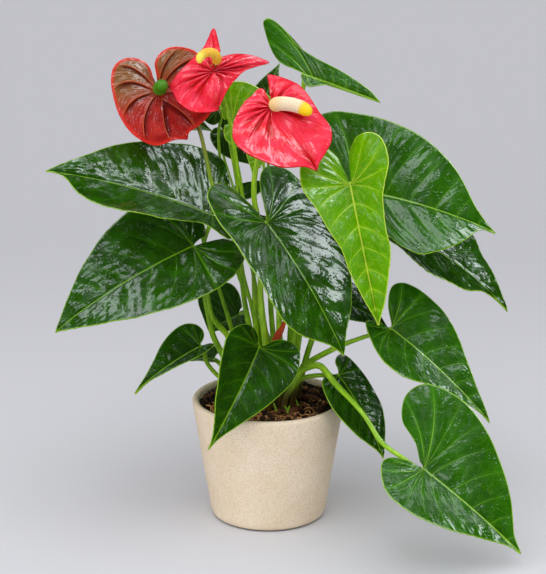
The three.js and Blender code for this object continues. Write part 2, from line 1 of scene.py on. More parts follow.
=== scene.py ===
"""A potted anthurium: wet, glossy heart-shaped leaves and three puckered red flowers on long stalks,
rooted in bark soil in a speckled cream pot.  Shapes are worked out in the frame's millimetres and
turned into metres when a mesh is made."""
import math

import bpy
import numpy as np
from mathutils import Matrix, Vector


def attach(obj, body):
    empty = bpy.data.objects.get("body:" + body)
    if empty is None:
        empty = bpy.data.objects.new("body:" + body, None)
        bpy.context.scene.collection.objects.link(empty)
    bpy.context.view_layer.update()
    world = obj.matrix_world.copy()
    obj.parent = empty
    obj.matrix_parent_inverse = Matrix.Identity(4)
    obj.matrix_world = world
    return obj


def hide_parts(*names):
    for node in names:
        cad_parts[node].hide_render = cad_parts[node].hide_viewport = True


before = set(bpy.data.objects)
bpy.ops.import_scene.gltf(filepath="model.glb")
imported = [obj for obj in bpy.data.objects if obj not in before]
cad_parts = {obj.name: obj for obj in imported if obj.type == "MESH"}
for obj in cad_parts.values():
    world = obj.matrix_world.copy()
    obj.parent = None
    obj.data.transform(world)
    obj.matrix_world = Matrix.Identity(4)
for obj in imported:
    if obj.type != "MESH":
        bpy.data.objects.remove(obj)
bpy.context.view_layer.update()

MM = 0.001

# ---------------------------------------------------------------- pot and soil, in millimetres
POT_HEIGHT = 112
POT_RIM_RADIUS = 70
POT_FOOT_RADIUS = 52
POT_WALL = 6
POT_FOOT_ROUNDING = 6
POT_FLOOR = 8
POT_MIDDLE = 20                 # the flat disc in the middle of its floor
POT_SIDES = 144
SPECK_SIZE = 1.25
SOIL_LEVEL = 103
SOIL_RELIEF = 2.2
SOIL_BANK = 5                   # how much higher the soil lies against the wall of the pot
SOIL_SIDES = 150
SOIL_RINGS = 46
CRUMB_SIZE = 2.6

BARK_CHIPS = 640
BARK_CHUNKS = 46
BARK_SEED = 11
# bark chunks at the foremost stalk feet: place, length and turn in degrees
FRONT_CHUNKS = ((9, -27, 13, 62), (22, -22, 19, 28), (33, -9, 11, 110), (38, 12, 20, 150),
                (20, -38, 10, -30), (36, -20, 9, 75), (-2, -34, 12, 20))
FRONT_CHUNK_SEED = 31
ROOT_SHREDS = 300
ROOT_SEED = 23
SPRIG_PLACES = ((17, -29), (18.5, -28), (28, -16), (8, -31), (-24, -12))
SPRIG_SEED = 47
SPRIG_TONE = (0.5, 0, 90)       # the green part of a stalk's skin
BRACT_ROUTE = ((1, -25, 160), (6, -25.4, 173), (11.5, -24.2, 184), (17, -21.5, 196))

# ---------------------------------------------------------------- plant, in millimetres
LEAF_THICKNESS = 0.7
SPATHE_THICKNESS = 0.8
USUAL_LEAF = 130                # the length of a leaf whose pillows and waves are as high as written
LEAF_PUCKER = 0.9
TERRACE_GROOVE = 0.14           # the groove beside a vein, as a share of the way to the next vein
MARGIN_RAYS = 130               # rays from the midrib to the margin of one half of a blade
RAY_STEPS = 34
LEAF_VEIN_SLOPE = 0.75          # how far behind its place on the margin a ray starts on the midrib
SPATHE_VEIN_SLOPE = 3
SINUS_WIDTH = 0.08              # the open notch of a plain heart, as a share of its half width
TIP_FULLNESS = 0.13             # how wide a plain heart stays near its tip, as the same share
FAR_FROM_EDGE = 40              # distances from the margin are counted up to here
# where the strong side veins meet the margin, from the sinus (0) to the tip (1)
VEIN_SPOTS = (-0.03, 0.12, 0.23, 0.34, 0.45, 0.55, 0.64, 0.72, 0.8, 0.87, 0.94, 1.0)

SOIL_DEPTH = 16                 # how deep a stalk stands in the soil
STALK_SIDES = 14
STALK_STEPS = 90
SHEATH_SWELL = 0.5              # how much thicker a stalk is inside its basal sheath
SHEATH_FADE = (70, 150)         # where along a stalk its sheath ends
NECK_SWELL = 0.22               # how much thicker a leaf's stalk is just under its blade
SPIKE_SIDES = 84
SPIKE_STEPS = 110
SPIKE_BUMP = 0.15               # how far a floret stands out, as a share of the spike's radius
SMOOTH_END = 0.93               # where along the spike its florets have become flat
FLORET_SPIRALS = 8
FLORET_PITCH = 2.4              # between two florets along the spike

# ---------------------------------------------------------------- light and camera
# name, azimuth (0 is +X, 90 is +Y), height and width in degrees, brightness
SOFT_BOXES = (
    ("key", -138, 38, 80, 1.06),
    ("fill", -34, 58, 84, 1.0),
)
SHINING_BOXES = (
    ("right", -3, 48, 28, 7.0),
    ("front_top", -30, 62, 16, 5.0),
    ("left_back", 164, 54, 32, 2.9),
    ("left", -120, 48, 18, 3.0),
    ("right_back", 54, 44, 18, 1.4),
    ("low_front", -112, 18, 9, 4.0),
    ("above", -104, 78, 34, 2.3),
    ("far_left", -158, 21, 14, 1.6),
)
SHEEN_COLOUR = (0.9, 0.96, 1.0)
SKY_COLOUR = (0.96, 0.97, 1.0, 1.0)
SKY_STRENGTH = 0.4
FLOOR_SIZE = 30                 # the floor and the camera's place are in metres
FLOOR_PLACE = (0, 4, 0)
SENSOR_WIDTH = 36
FOCAL_PIXELS = 2202             # the focal length in pixels of an image of the height below
IMAGE_HEIGHT = 574
CAMERA_PLACE = (0.0043, -1.9, 0.783)
CAMERA_PITCH = 16.6
FAR_LIMIT = 50                  # how far the camera sees, in metres

# ---------------------------------------------------------------- blades and stalks, in millimetres
# base and tip are the ends of the midrib, face is where the upper side looks and bow is how high the
# midrib arches.  Each half has an outline of (along, across) points from the base, or the width and
# the lobe of a plain heart, and a fold in degrees, which may change towards the tip.  A stalk runs
# from its foot in the soil through its points to the base, with the given radius.
LEAVES = (
    dict(name="left_upper", base=(-50, -8, 286), tip=(-193.7, -30, 331.8), face=(0.3, -0.37, 0.88),
        fold=(14, 22), bow=6, foot=(-15, 0), radius=1.9,
        outline=(((-12, 3), (-18, 11), (-18, 27), (-12, 37), (4, 29), (14, 25), (35, 38), (59, 46),
            (81, 52), (100, 54), (114, 46), (124, 35), (139, 6)),
            ((-10, 5), (-14, 16), (-14, 28), (-10, 40), (-1, 58), (9, 62), (23, 62), (42, 59), (64, 53),
            (83, 46), (99, 38), (116, 26), (134, 13))),
        stalk=((-38, 5, 144), (-50, 9, 167), (-54, 10, 184), (-58, 7, 210), (-58, 0, 255))),
    dict(name="left_lower", base=(-67, -22, 261), tip=(-188, -55, 192), face=(-0.24, -0.65, 0.72),
        width=(60, 62), lobe=(34, 20), full=0.32, fold=(8, 8), bow=8, foot=(-9, -9), radius=1.9,
        stalk=((-22, -6, 140), (-36, -5, 171), (-50, -8, 190), (-55, -11, 214), (-64, -15, 240))),
    dict(name="centre", base=(-1, -50, 290), tip=(66, -95, 183), face=(0.62, -0.6, 0.5), fold=(8, 8), bow=6,
        foot=(10, -15), radius=2,
        outline=(((-3, 3), (-15, 9), (-30, 18), (-42, 30), (-46, 42), (-40, 54), (-22, 60), (0, 58),
            (30, 58), (54, 57), (79, 43), (101, 28), (117, 12)),
            ((-6, 4), (-31, 3), (-46, 8), (-50, 22), (-42, 41), (-20, 51), (12, 54), (45, 55), (68, 57),
            (84, 54), (98, 46), (108, 34), (120, 14))),
        stalk=((10, -19, 170), (8, -30, 230), (2, -41, 270))),
    dict(name="lime", look="lime", base=(71, -55, 325), tip=(95, -97, 211), face=(-0.1, -0.94, 0.33),
        fold=(35, 22), fold_tip=(35, 38), bow=4, foot=(16, -9), radius=1.9,
        outline=(((-26, 5), (-37, 16), (-37, 30), (-30, 40), (-20, 44), (-6, 44), (20, 32), (46, 28),
            (61, 28), (81, 22), (106, 11)),
            ((-23, 6), (-33, 14), (-37, 25), (-30, 36), (-18, 42), (0, 43), (18, 35), (39, 27), (55, 20),
            (77, 16), (100, 9))),
        stalk=((22, -6, 168), (36, -3, 225), (46, -8, 262), (50, -11, 288), (56, -30, 304), (65, -46, 317))),
    dict(name="right_upper", look="fresh", base=(74, -5, 309), tip=(200, -35, 277),
        face=(0.04, -0.66, 0.75), fold=(24, 2), bow=8, foot=(21, 0), radius=2,
        outline=(((-8, 6), (-25, 14), (-42, 28), (-50, 44), (-46, 60), (-32, 68), (-15, 69), (21, 66),
            (52, 57), (83, 39), (108, 15), (124, 4)),
            ((-4, 5), (-7, 13), (-7, 24), (0, 34), (18, 39), (47, 42), (60, 48), (78, 51), (90, 43),
            (99, 35), (110, 21), (120, 4))),
        stalk=((29, 6, 173), (50, 10, 248), (69, 3, 294))),
    dict(name="right_behind", base=(106, 30, 269), tip=(219, 10, 192), face=(0.5, -0.3, 0.81), fold=(9, 9),
        bow=8, foot=(26, 7), radius=1.8,
        outline=(((-23, 4), (-29, 13), (-29, 26), (-18, 42), (14, 50), (45, 52), (75, 49), (92, 34),
            (110, 20), (128, 8)),
            ((-23, 4), (-29, 13), (-27, 26), (-8, 37), (21, 43), (39, 54), (56, 60), (75, 53), (94, 36),
            (115, 8))),
        stalk=((41, 14, 165), (72, 25, 220), (98, 33, 258))),
    dict(name="right_middle", look="fresh", base=(110, -20, 184), tip=(197, -62, 110),
        face=(0.29, -0.64, 0.71), fold=(24, 20), bow=6, foot=(22, -7), radius=1.7,
        outline=(((-3, 4), (-15, 15), (-21, 25), (-23, 33), (-19, 40), (-8, 44), (20, 43), (38, 38),
            (54, 31), (73, 21), (92, 12), (107, 6)),
            ((-8, 3), (-15, 4), (-19, 11), (-17, 17), (-7, 28), (13, 43), (29, 50), (42, 48), (51, 39),
            (62, 26), (86, 13), (106, 4))),
        stalk=((32, -6, 144), (39, -7, 149), (58, -11, 161), (71, -14, 168), (90, -17, 176))),
    dict(name="right_front", look="fresh", base=(136, -104, 82), tip=(220, -134, 15.1),
        face=(0.22, -0.76, 0.61), fold=(26, 30), bow=4, foot=(14, -20), radius=2,
        outline=(((-7, 3), (-20, 14), (-40, 23), (-49, 43), (-41, 61), (-11, 68), (19, 61), (49, 45),
            (63, 36), (75, 27), (87, 16), (97, 7)),
            ((-8, 4), (-18, 5), (-26, 12), (-29, 22), (-26, 35), (-8, 58), (5, 62), (20, 60), (36, 52),
            (54, 41), (74, 23), (95, 6))),
        stalk=((15, -19, 116), (22, -19, 129), (29, -20, 143), (38, -23, 149), (46, -27, 151),
            (52, -33, 147), (60, -42, 139), (72, -58, 131), (85, -73, 120), (100, -90, 101),
            (118, -99, 90))),
    dict(name="right_inner", base=(64, -15, 138), tip=(104, -50, 71), face=(0.59, -0.48, 0.65), fold=(4, 4),
        bow=4, foot=(20, -14), radius=1.3,
        outline=(((-4, 4), (-13, 7), (-17, 13), (-18, 19), (-14, 24), (-2, 27), (10, 28), (26, 27),
            (39, 26), (52, 21), (63, 15), (74, 8)),
            ((-2, 4), (-3, 10), (-3, 18), (0, 25), (8, 31), (19, 35), (30, 35), (41, 32), (50, 28),
            (58, 23), (67, 15), (77, 5))),
        stalk=((23, -13, 124), (31, -13, 134), (46, -13, 137), (56, -11, 136))),
    dict(name="front", base=(-8, -42, 173), tip=(-52, -92, 95), face=(0.38, -0.86, 0.34), fold=(20, 24),
        bow=5, foot=(1, -21), radius=1.6,
        outline=(((-4, 4), (-12, 10), (-16, 19), (-16, 27), (-11, 35), (-3, 38), (6, 40), (18, 39),
            (43, 29), (56, 22), (68, 15), (91, 3)),
            ((-2, 3), (-8, 6), (-11, 12), (-10, 22), (-4, 31), (5, 38), (14, 40), (37, 34), (50, 27),
            (63, 20), (75, 12), (93, 3))),
        stalk=((0, -26, 135), (-4, -33, 158))),
    dict(name="left_small", base=(-62, 5, 159), tip=(-122, -10, 119), face=(-0.36, -0.57, 0.74),
        fold=(30, 31), bow=4, foot=(-17, 8), radius=1.3,
        outline=(((-5, 2), (-9, 4), (-10, 10), (-5, 16), (3, 19), (14, 20), (27, 16), (41, 10), (54, 4)),
            ((-2, 2), (-7, 6), (-9, 12), (-6, 20), (2, 25), (12, 25), (27, 20), (43, 11), (56, 5))),
        stalk=((-30, 8, 118), (-46, 6, 130), (-57, 6, 145))),
    dict(name="left_low_back", look="back", base=(-50.8, 38, 135.9), tip=(-73.2, 50, 130.1),
        face=(-0.3, -0.6, 0.75), fold=(10, 10), bow=3, foot=(-14, 20), radius=1.2,
        outline=(((-1, 1), (-2, 3), (2, 4), (7, 4), (13, 3), (19, 2)),
            ((-1, 4), (-4, 9), (-3, 12), (4, 12), (10, 10), (17, 5))),
        stalk=((-26, 26, 118), (-42, 36, 128))),
    dict(name="back_left", look="back", base=(-27.7, 38, 178.7), tip=(-55.9, 60, 154.4),
        face=(-0.2, -0.9, 0.4), fold=(10, 10), bow=4, foot=(-8, 14), radius=1.7,
        outline=(((-6, 2), (-7, 7), (-5, 11), (0, 14), (6, 13), (12, 11), (19, 8), (25, 5), (33, 3),
            (39, 1.5)),
            ((-6, 5), (-8, 16), (-7, 25), (-3, 31), (5, 33), (16, 33), (29, 33), (35, 27), (38, 18),
            (41, 8))),
        stalk=((-10, 24, 140), (-20, 36, 166))),
    dict(name="back_right", look="back", base=(54, 46, 193), tip=(114, 62, 157), face=(0.1, -0.5, 0.85),
        width=(28, 24), lobe=(14, 14), fold=(10, 10), bow=5, foot=(14, 15), radius=1.7,
        stalk=((20, 24, 150), (44, 42, 184))),
    dict(name="top_right", look="fresh", base=(31, 12, 409), tip=(97, -28, 392), face=(-0.4, -0.79, 0.47),
        fold=(10, 20), bow=2, foot=(10, 4), radius=1.8,
        outline=(((-4, 1), (-28, 3), (-43, 13), (-55, 26), (-59, 33), (-55, 37), (-46, 36), (-31, 30),
            (-16, 22), (5, 17), (36, 13), (67, 6)),
            ((-2, 2), (1, 5), (5, 8), (9, 10), (13, 10), (18, 7), (24, 3), (32, 2), (42, 1.5), (52, 1.5),
            (60, 1.5), (68, 1.2))),
        stalk=((2, 12, 198), (0, 20, 264), (9, 22, 320), (21, 20, 362), (30, 17, 390))),
    dict(name="top_middle", look="lime", base=(-31, 30, 362), tip=(25, 50, 361), face=(0, -0.9, 0.45),
        width=(36, 26), lobe=(10, 10), fold=(8, 8), bow=3, foot=(-7, 3), radius=1.5,
        stalk=((-12, 6, 180), (-23, 9, 230), (-27, 16, 275), (-28, 22, 305), (-32, 26, 330),
            (-35, 31, 347))),
    dict(name="top_back", look="back", base=(-6, 62, 368), tip=(10, 78, 406), face=(-0.3, -0.9, 0),
        width=(14, 14), lobe=(8, 8), fold=(20, 20), bow=2, foot=(4, 11), radius=1.2,
        stalk=((3, 16, 200), (-2, 30, 290), (-6, 58, 350))),
    dict(name="top_hidden", look="back", base=(-45, 54, 369), tip=(-57, 74, 400), face=(-0.2, -0.95, 0.2),
        width=(18, 18), lobe=(12, 12), fold=(10, 10), bow=2, foot=(-1, 7), radius=1.4,
        stalk=((-6, 10, 160), (-14, 13, 194), (-28, 20, 224), (-34, 30, 273), (-41, 38, 305),
            (-45, 50, 345))),
    dict(name="top_left", look="back", base=(-99, 50, 367), tip=(-50, 42, 351), face=(0.1, -0.8, 0.6),
        width=(18, 18), lobe=(14, 14), fold=(12, 12), bow=3, foot=(-20, 14), radius=1.5,
        stalk=((-30, 10, 160), (-46, 14, 215), (-70, 26, 285), (-90, 40, 330), (-98, 50, 350))),
    dict(name="inner_high", look="lime", base=(-4, 12, 353), tip=(-14, 4, 318), face=(-0.3, -0.9, 0.2),
        width=(15, 15), lobe=(8, 8), fold=(12, 12), bow=2, foot=(16, 6), radius=1.2,
        stalk=((9, 10, 200), (5, 10, 290), (-1, 14, 336))),
    dict(name="inner_dark", look="back", base=(-40, 70, 344), tip=(-6, 85, 306), face=(-0.1, -0.8, 0.55),
        width=(18, 18), lobe=(10, 10), fold=(8, 8), bow=2, foot=(-4, 20), radius=1.2,
        stalk=((-5, 20, 170), (-13, 24, 220), (-26, 38, 280), (-42, 80, 322))),
    dict(name="back_wide_left", look="back", base=(-34, 68, 280), tip=(-120, 150, 215),
        face=(-0.3, 0.2, 0.9), width=(44, 48), lobe=(20, 20), fold=(10, 10), bow=10, foot=(-13, 10),
        radius=1.9,
        stalk=((-15, 10, 160), (-22, 18, 200), (-30, 52, 255))),
    dict(name="back_wide_right", look="back", base=(38, 62, 283), tip=(96, 168, 220), face=(0.3, 0.2, 0.9),
        width=(48, 46), lobe=(22, 22), fold=(10, 10), bow=10, foot=(20, 22), radius=1.9,
        stalk=((21, 34, 170), (34, 54, 250))),
    dict(name="back_middle", look="back", base=(5, 68, 262), tip=(-5, 165, 195), face=(0, 0.45, 0.9),
        width=(34, 34), lobe=(16, 16), fold=(10, 10), bow=10, foot=(7, 20), radius=1.9,
        stalk=((10, 34, 170), (9, 54, 230))),
)

# Flowers have folds too: the depth of the crease at each of their veins, and how far out it reaches.
# An arch lets the veins head back before they bend to the tip, and a spike is a line of points.
FLOWERS = (
    dict(name="left", look="dark", spike_look="green", base=(-97, 10, 393), tip=(-71, -5, 354),
        face=(0.06, -0.92, 0.39), fold=(15, 15), bow=0, arch=0.13, foot=(8, -9), radius=1.8, spike_radius=6,
        veins=(0, 0.27, 0.42, 0.59, 0.77, 0.91, 1),
        outline=(((-13, 7), (-23, 11), (-28, 19), (-28, 29), (-22, 39), (-12, 47), (8, 49), (24, 44),
            (36, 36), (42, 27), (45, 14), (45, 4)),
            ((-14, -4), (-20, -6), (-28, -6), (-35, -1), (-40, 8), (-40, 20), (-31, 30), (-16, 37), (6, 42),
            (26, 39), (41, 27), (45, 8))),
        stalk=((6, -5, 150), (-5, -6, 184), (-14, -9, 235), (-22, -18, 280), (-38, -17, 300),
            (-49, -13, 315), (-55, -4, 339), (-64, 10, 366), (-80, 20, 382)),
        spike=((-96, 8, 394), (-95, 3, 398), (-93, -8, 402), (-92, -22, 405))),
    dict(name="middle", look="red", spike_look="yellow", base=(-48, -15, 422), tip=(-43, -36, 387),
        face=(-0.11, -0.86, 0.49), fold=(-25, -15), bow=0, arch=0.05, foot=(-2, -7), radius=1.8,
        spike_radius=4.1, veins=(0, 0.2, 0.32, 0.43, 0.53, 0.63, 0.72, 0.82, 1), folds=((0, 1), (2.2, 1),
        (1.6, 0.9), (2.4, 0.95), (1.6, 0.8), (2.4, 0.9), (1.8, 0.7), (1.4, 0.8), (0, 1)),
        outline=(((-8, 8), (-11, 22), (-10, 36), (-3, 53), (0, 44), (6, 28), (12, 21), (18, 15), (28, 8),
            (38, 2)),
            ((-12, -8), (-33, -5), (-18, 8), (-10, 20), (2, 36), (9, 43), (17, 40), (27, 35), (37, 24),
            (41, 8))),
        stalk=((-9, -1, 160), (-12, 0, 198), (-14, 0, 239), (-19, -2, 276), (-24, -4, 311), (-28, -5, 334),
            (-34, -5, 371), (-41, -3, 396)),
        spike=((-46, -17.1, 423.5), (-44, -21, 429), (-47, -24, 434), (-53, -27, 435), (-58, -31, 432),
            (-59, -34, 427))),
    dict(name="right", look="red", spike_look="yellow", base=(3, -50, 392), tip=(42, -80, 344),
        face=(0.16, -0.78, 0.61), fold=(16, 10), bow=0, arch=0.06, foot=(4, -14), radius=2.4,
        spike_radius=6.2, veins=(0, 0.13, 0.25, 0.36, 0.47, 0.6, 0.75, 1), folds=((0, 1), (2.6, 0.9),
        (2.0, 0.8), (3.2, 0.95), (2.2, 0.7), (3.0, 0.75), (2.0, 0.6), (0, 1)),
        outline=(((-5, 4), (-15, 9), (-26, 14), (-22, 19), (-11, 27), (-3, 31), (10, 32), (26, 31),
            (44, 31), (54, 25), (60, 15), (65, 4)),
            ((-8, -2), (-18, -5.5), (-21, -2), (-18, 8), (-16, 17), (-9, 31), (2, 44), (11, 49), (27, 46),
            (40, 37), (52, 26), (61, 8))),
        stalk=((-2, -15, 168), (-6, -17, 201), (-7, -19, 223), (-6, -26, 257), (-9, -37, 291),
            (-12, -42, 308), (-12, -43, 325), (-9, -42, 345), (-2, -40, 373)),
        spike=((3.9, -51.2, 392.4), (8, -56, 396), (17, -60, 397), (28, -64, 395), (37, -69, 390.5))),
)


# ---------------------------------------------------------------- vectors and curves
def unit(vectors):
    return vectors / np.linalg.norm(vectors, axis=-1, keepdims=True)


def line_steps(line):
    return np.linalg.norm(np.diff(line, axis=0), axis=1)


def between(t, a, b, start, end):
    """a where t is start, b where t is end, and the straight way between them."""
    return (end - t) / (end - start) * a + (t - start) / (end - start) * b


def smooth_line(points, per_piece=12):
    """A centripetal Catmull-Rom curve through the points."""
    points = np.asarray(points, float)
    p = np.concatenate([[2 * points[0] - points[1]], points, [2 * points[-1] - points[-2]]])
    line = []
    for i in range(1, len(p) - 2):
        steps = np.maximum(1e-4, line_steps(p[i - 1:i + 3])) ** 0.5
        t0, t1, t2, t3 = np.concatenate([[0], np.cumsum(steps)])
        t = np.linspace(t1, t2, per_piece, endpoint=False)[:, None]
        before = between(t, p[i - 1], p[i], t0, t1)
        here = between(t, p[i], p[i + 1], t1, t2)
        after = between(t, p[i + 1], p[i + 2], t2, t3)
        line.append(between(t, between(t, before, here, t0, t2), between(t, here, after, t1, t3), t1, t2))
    return np.concatenate([*line, p[-2:-1]])


def evenly(line, count):
    """The same line with count + 1 points, evenly spaced."""
    run = np.concatenate([[0], np.cumsum(line_steps(line))])
    wanted = np.linspace(0, run[-1], count + 1)
    return np.stack([np.interp(wanted, run, line[:, i]) for i in range(line.shape[1])], axis=1)


def even_curve(points, count):
    return evenly(smooth_line(points), count)


def bezier(points, count):
    t = np.linspace(0, 1, count)[:, None]
    a, b, c, d = (np.asarray(p, float) for p in points)
    return (1 - t) ** 3 * a + 3 * (1 - t) ** 2 * t * b + 3 * (1 - t) * t ** 2 * c + t ** 3 * d


def waves(x, y, seed, lengths):
    """Smooth seeded unevenness of about -1 to 1, made of crossing waves of the given lengths."""
    draw = np.random.default_rng(seed)
    total = np.zeros(np.broadcast(x, y).shape)
    for length in lengths:
        angle, phase = draw.uniform(0, math.pi), draw.uniform(0, 2 * math.pi)
        total += np.sin((x * math.cos(angle) + y * math.sin(angle)) * 2 * math.pi / length + phase)
    return total / math.sqrt(len(lengths))


def bump_at(distance, width):
    return np.exp(-((distance / width) ** 2))


def step_up(value, low, high):
    """0 below low, 1 above high, and a smooth step between."""
    t = np.clip((value - low) / (high - low), 0, 1)
    return t * t * (3 - 2 * t)


# ---------------------------------------------------------------- meshes
def add_piece(name, points, faces, materials, replaced=(), attributes=(), parts=None):
    """A mesh object from points in millimetres, riding on the one body.

    attributes: name -> (n, 3) array; parts: a material index for each face."""
    mesh = bpy.data.meshes.new(name)
    mesh.from_pydata((np.asarray(points) * MM).tolist(), [], faces)
    for key, values in dict(attributes).items():
        layer = mesh.attributes.new(key, "FLOAT_VECTOR", "POINT")
        layer.data.foreach_set("vector", np.asarray(values, np.float32).ravel())
    for material in materials:
        mesh.materials.append(material)
    if parts is not None:
        mesh.polygons.foreach_set("material_index", np.asarray(parts, np.int32))
    mesh.validate()
    mesh.shade_smooth()
    mesh.update()
    piece = bpy.data.objects.new(name, mesh)
    bpy.context.scene.collection.objects.link(piece)
    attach(piece, "root")
    if replaced:
        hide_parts(*replaced)


def ring_angles(sides):
    return np.linspace(0, 2 * math.pi, sides, endpoint=False)


def level_ring(radius, height, sides):
    angles = ring_angles(sides)
    return np.stack([radius * np.cos(angles), radius * np.sin(angles), np.full(sides, height)], axis=1)


def closed_faces(rows, sides):
    """Faces of a closed body: rows of points round it, then its first and its last point."""
    first, last = rows * sides, rows * sides + 1
    faces = []
    for corner in range(sides):
        after = (corner + 1) % sides
        for row in range(0, first - sides, sides):
            faces.append((row + corner, row + after, row + sides + after, row + sides + corner))
        faces.append((first, after, corner))
        faces.append((last, first - sides + corner, first - sides + after))
    return faces


def round_ridge(angles, row):
    return np.ones(len(angles))


def tube(route, radii, sides, ridge=round_ridge):
    """Points and faces of a closed tube along a line of points, turned as little as possible."""
    route = np.asarray(route, float)
    ahead = unit(np.gradient(route, axis=0))
    across = np.cross(ahead[0], (0.31, 0.87, 0.38))
    angles = ring_angles(sides)
    rings = []
    for row, (centre, forward) in enumerate(zip(route, ahead)):
        across = unit(across - forward * (across @ forward))
        side = np.cross(forward, across)
        reach = radii[row] * ridge(angles, row)
        ring = np.outer(reach * np.cos(angles), across) + np.outer(reach * np.sin(angles), side)
        rings.append(centre + ring)
    return np.concatenate([*rings, route[:1], route[-1:]]), closed_faces(len(route), sides)


def tube_tones(first, second, third, ends):
    """Tones of a tube's points: columns of one value each, then those of its two end points."""
    columns = [np.ravel(column) for column in (first, second, third)]
    return np.concatenate([np.stack(columns, axis=1), ends])


def around_tube(count, sides):
    return np.tile(np.cos(ring_angles(sides)), count)


class Bundle:
    """Collects many small closed bodies into one mesh."""

    def __init__(self):
        self.points, self.faces, self.tones = [], [], []
        self.count = 0

    def add(self, points, faces, tones):
        self.points.append(points)
        self.faces += [tuple(i + self.count for i in face) for face in faces]
        self.tones.append(np.broadcast_to(np.asarray(tones, float), (len(points), 3)))
        self.count += len(points)

    def piece(self, name, material, slot):
        tones = np.concatenate(self.tones)
        add_piece(name, np.concatenate(self.points), self.faces, [material], attributes={"tone": tones})


# ---------------------------------------------------------------- node materials
class Field:
    """A value that varies over a surface: a node's output, which + - * / lead on to new nodes."""

    def __init__(self, shader, socket):
        self.shader, self.socket = shader, socket

    def __add__(self, other):
        return self.shader.sum("ADD", self, other)

    def __sub__(self, other):
        return self.shader.sum("SUBTRACT", self, other)

    def __mul__(self, other):
        return self.shader.sum("MULTIPLY", self, other)

    def __truediv__(self, other):
        return self.shader.sum("DIVIDE", self, other)

    __rmul__ = __mul__


class Shader:
    """A Principled material whose colour, roughness and bump come from a few chained nodes."""

    def __init__(self, name, **sockets):
        self.material = bpy.data.materials.new(name)
        self.material.use_nodes = True
        self.tree = self.material.node_tree
        self.surface = self.tree.nodes["Principled BSDF"]
        for key, value in sockets.items():
            self.surface.inputs[key.replace("_", " ")].default_value = value

    def node(self, kind, inputs=(), output=0, **settings):
        node = self.tree.nodes.new(kind)
        for key, value in settings.items():
            setattr(node, key, value)
        for key, value in dict(inputs).items():
            if isinstance(value, Field):
                self.tree.links.new(value.socket, node.inputs[key])
            else:
                node.inputs[key].default_value = value
        return Field(self, node.outputs[output])

    def sum(self, operation, *values):
        return self.node("ShaderNodeMath", dict(enumerate(values)), operation=operation)

    def split(self, vector):
        outputs = self.node("ShaderNodeSeparateXYZ", {0: vector}).socket.node.outputs
        return [Field(self, output) for output in outputs]

    def attribute(self, name):
        return self.split(self.node("ShaderNodeAttribute", output="Vector", attribute_name=name))

    def combine(self, x, y, z=0.0):
        return self.node("ShaderNodeCombineXYZ", {0: x, 1: y, 2: z})

    def scaled(self, vector, scale):
        return self.node("ShaderNodeVectorMath", {0: vector, "Scale": scale}, operation="SCALE")

    def place(self):
        """Object coordinates, in millimetres."""
        return self.scaled(self.node("ShaderNodeTexCoord", output="Object"), 1 / MM)

    def noise(self, vector, size, detail=2.0, rough=0.5, distortion=0.0):
        """Soft noise of 0 to 1 whose lumps measure about the given size in the vector's units."""
        inputs = {"Vector": vector, "Scale": 1 / size, "Detail": detail, "Roughness": rough,
                  "Distortion": distortion}
        return self.node("ShaderNodeTexNoise", inputs)

    def cells(self, vector, size, feature="F1", output=0):
        inputs = {"Vector": vector, "Scale": 1 / size}
        return self.node("ShaderNodeTexVoronoi", inputs, output, feature=feature)

    def cell_tone(self, vector, size):
        """A random value for each cell."""
        return self.node("ShaderNodeSeparateColor", {0: self.cells(vector, size, output="Color")})

    def fade(self, value, low, high, start=0.0, end=1.0):
        """start below low, end above high, and a smooth step between."""
        inputs = {"Value": value, "From Min": low, "From Max": high, "To Min": start, "To Max": end}
        return self.node("ShaderNodeMapRange", inputs, interpolation_type="SMOOTHSTEP")

    def blend(self, share, first, second):
        return self.node("ShaderNodeMix", {0: share, 6: first, 7: second}, 2, data_type="RGBA")

    def drops(self, flat, size, start, end):
        """Beads of water in patches, as heights of 0 to 1."""
        beads = self.fade(self.cells(flat, size, "SMOOTH_F1"), 0.1, end, 1.0, 0.0)
        return beads * self.fade(self.noise(flat, 8.0), start, 0.6)

    def colour(self, value):
        self.tree.links.new(value.socket, self.surface.inputs["Base Color"])

    def rough(self, value):
        self.tree.links.new(value.socket, self.surface.inputs["Roughness"])

    def bump(self, height, depth, coat=False):
        """A bump of that depth in millimetres, where height is 0 to 1."""
        inputs = {"Height": height, "Distance": depth * MM, "Strength": 1.0}
        normal = self.node("ShaderNodeBump", inputs)
        for name in ("Normal", "Coat Normal") if coat else ("Normal",):
            self.tree.links.new(normal.socket, self.surface.inputs[name])


def rgb(red, green, blue):
    """A linear colour from the 0 to 255 values of a screen colour."""
    def linear(value):
        value /= 255
        return value / 12.92 if value <= 0.04045 else ((value + 0.055) / 1.055) ** 2.4
    return (linear(red), linear(green), linear(blue), 1.0)


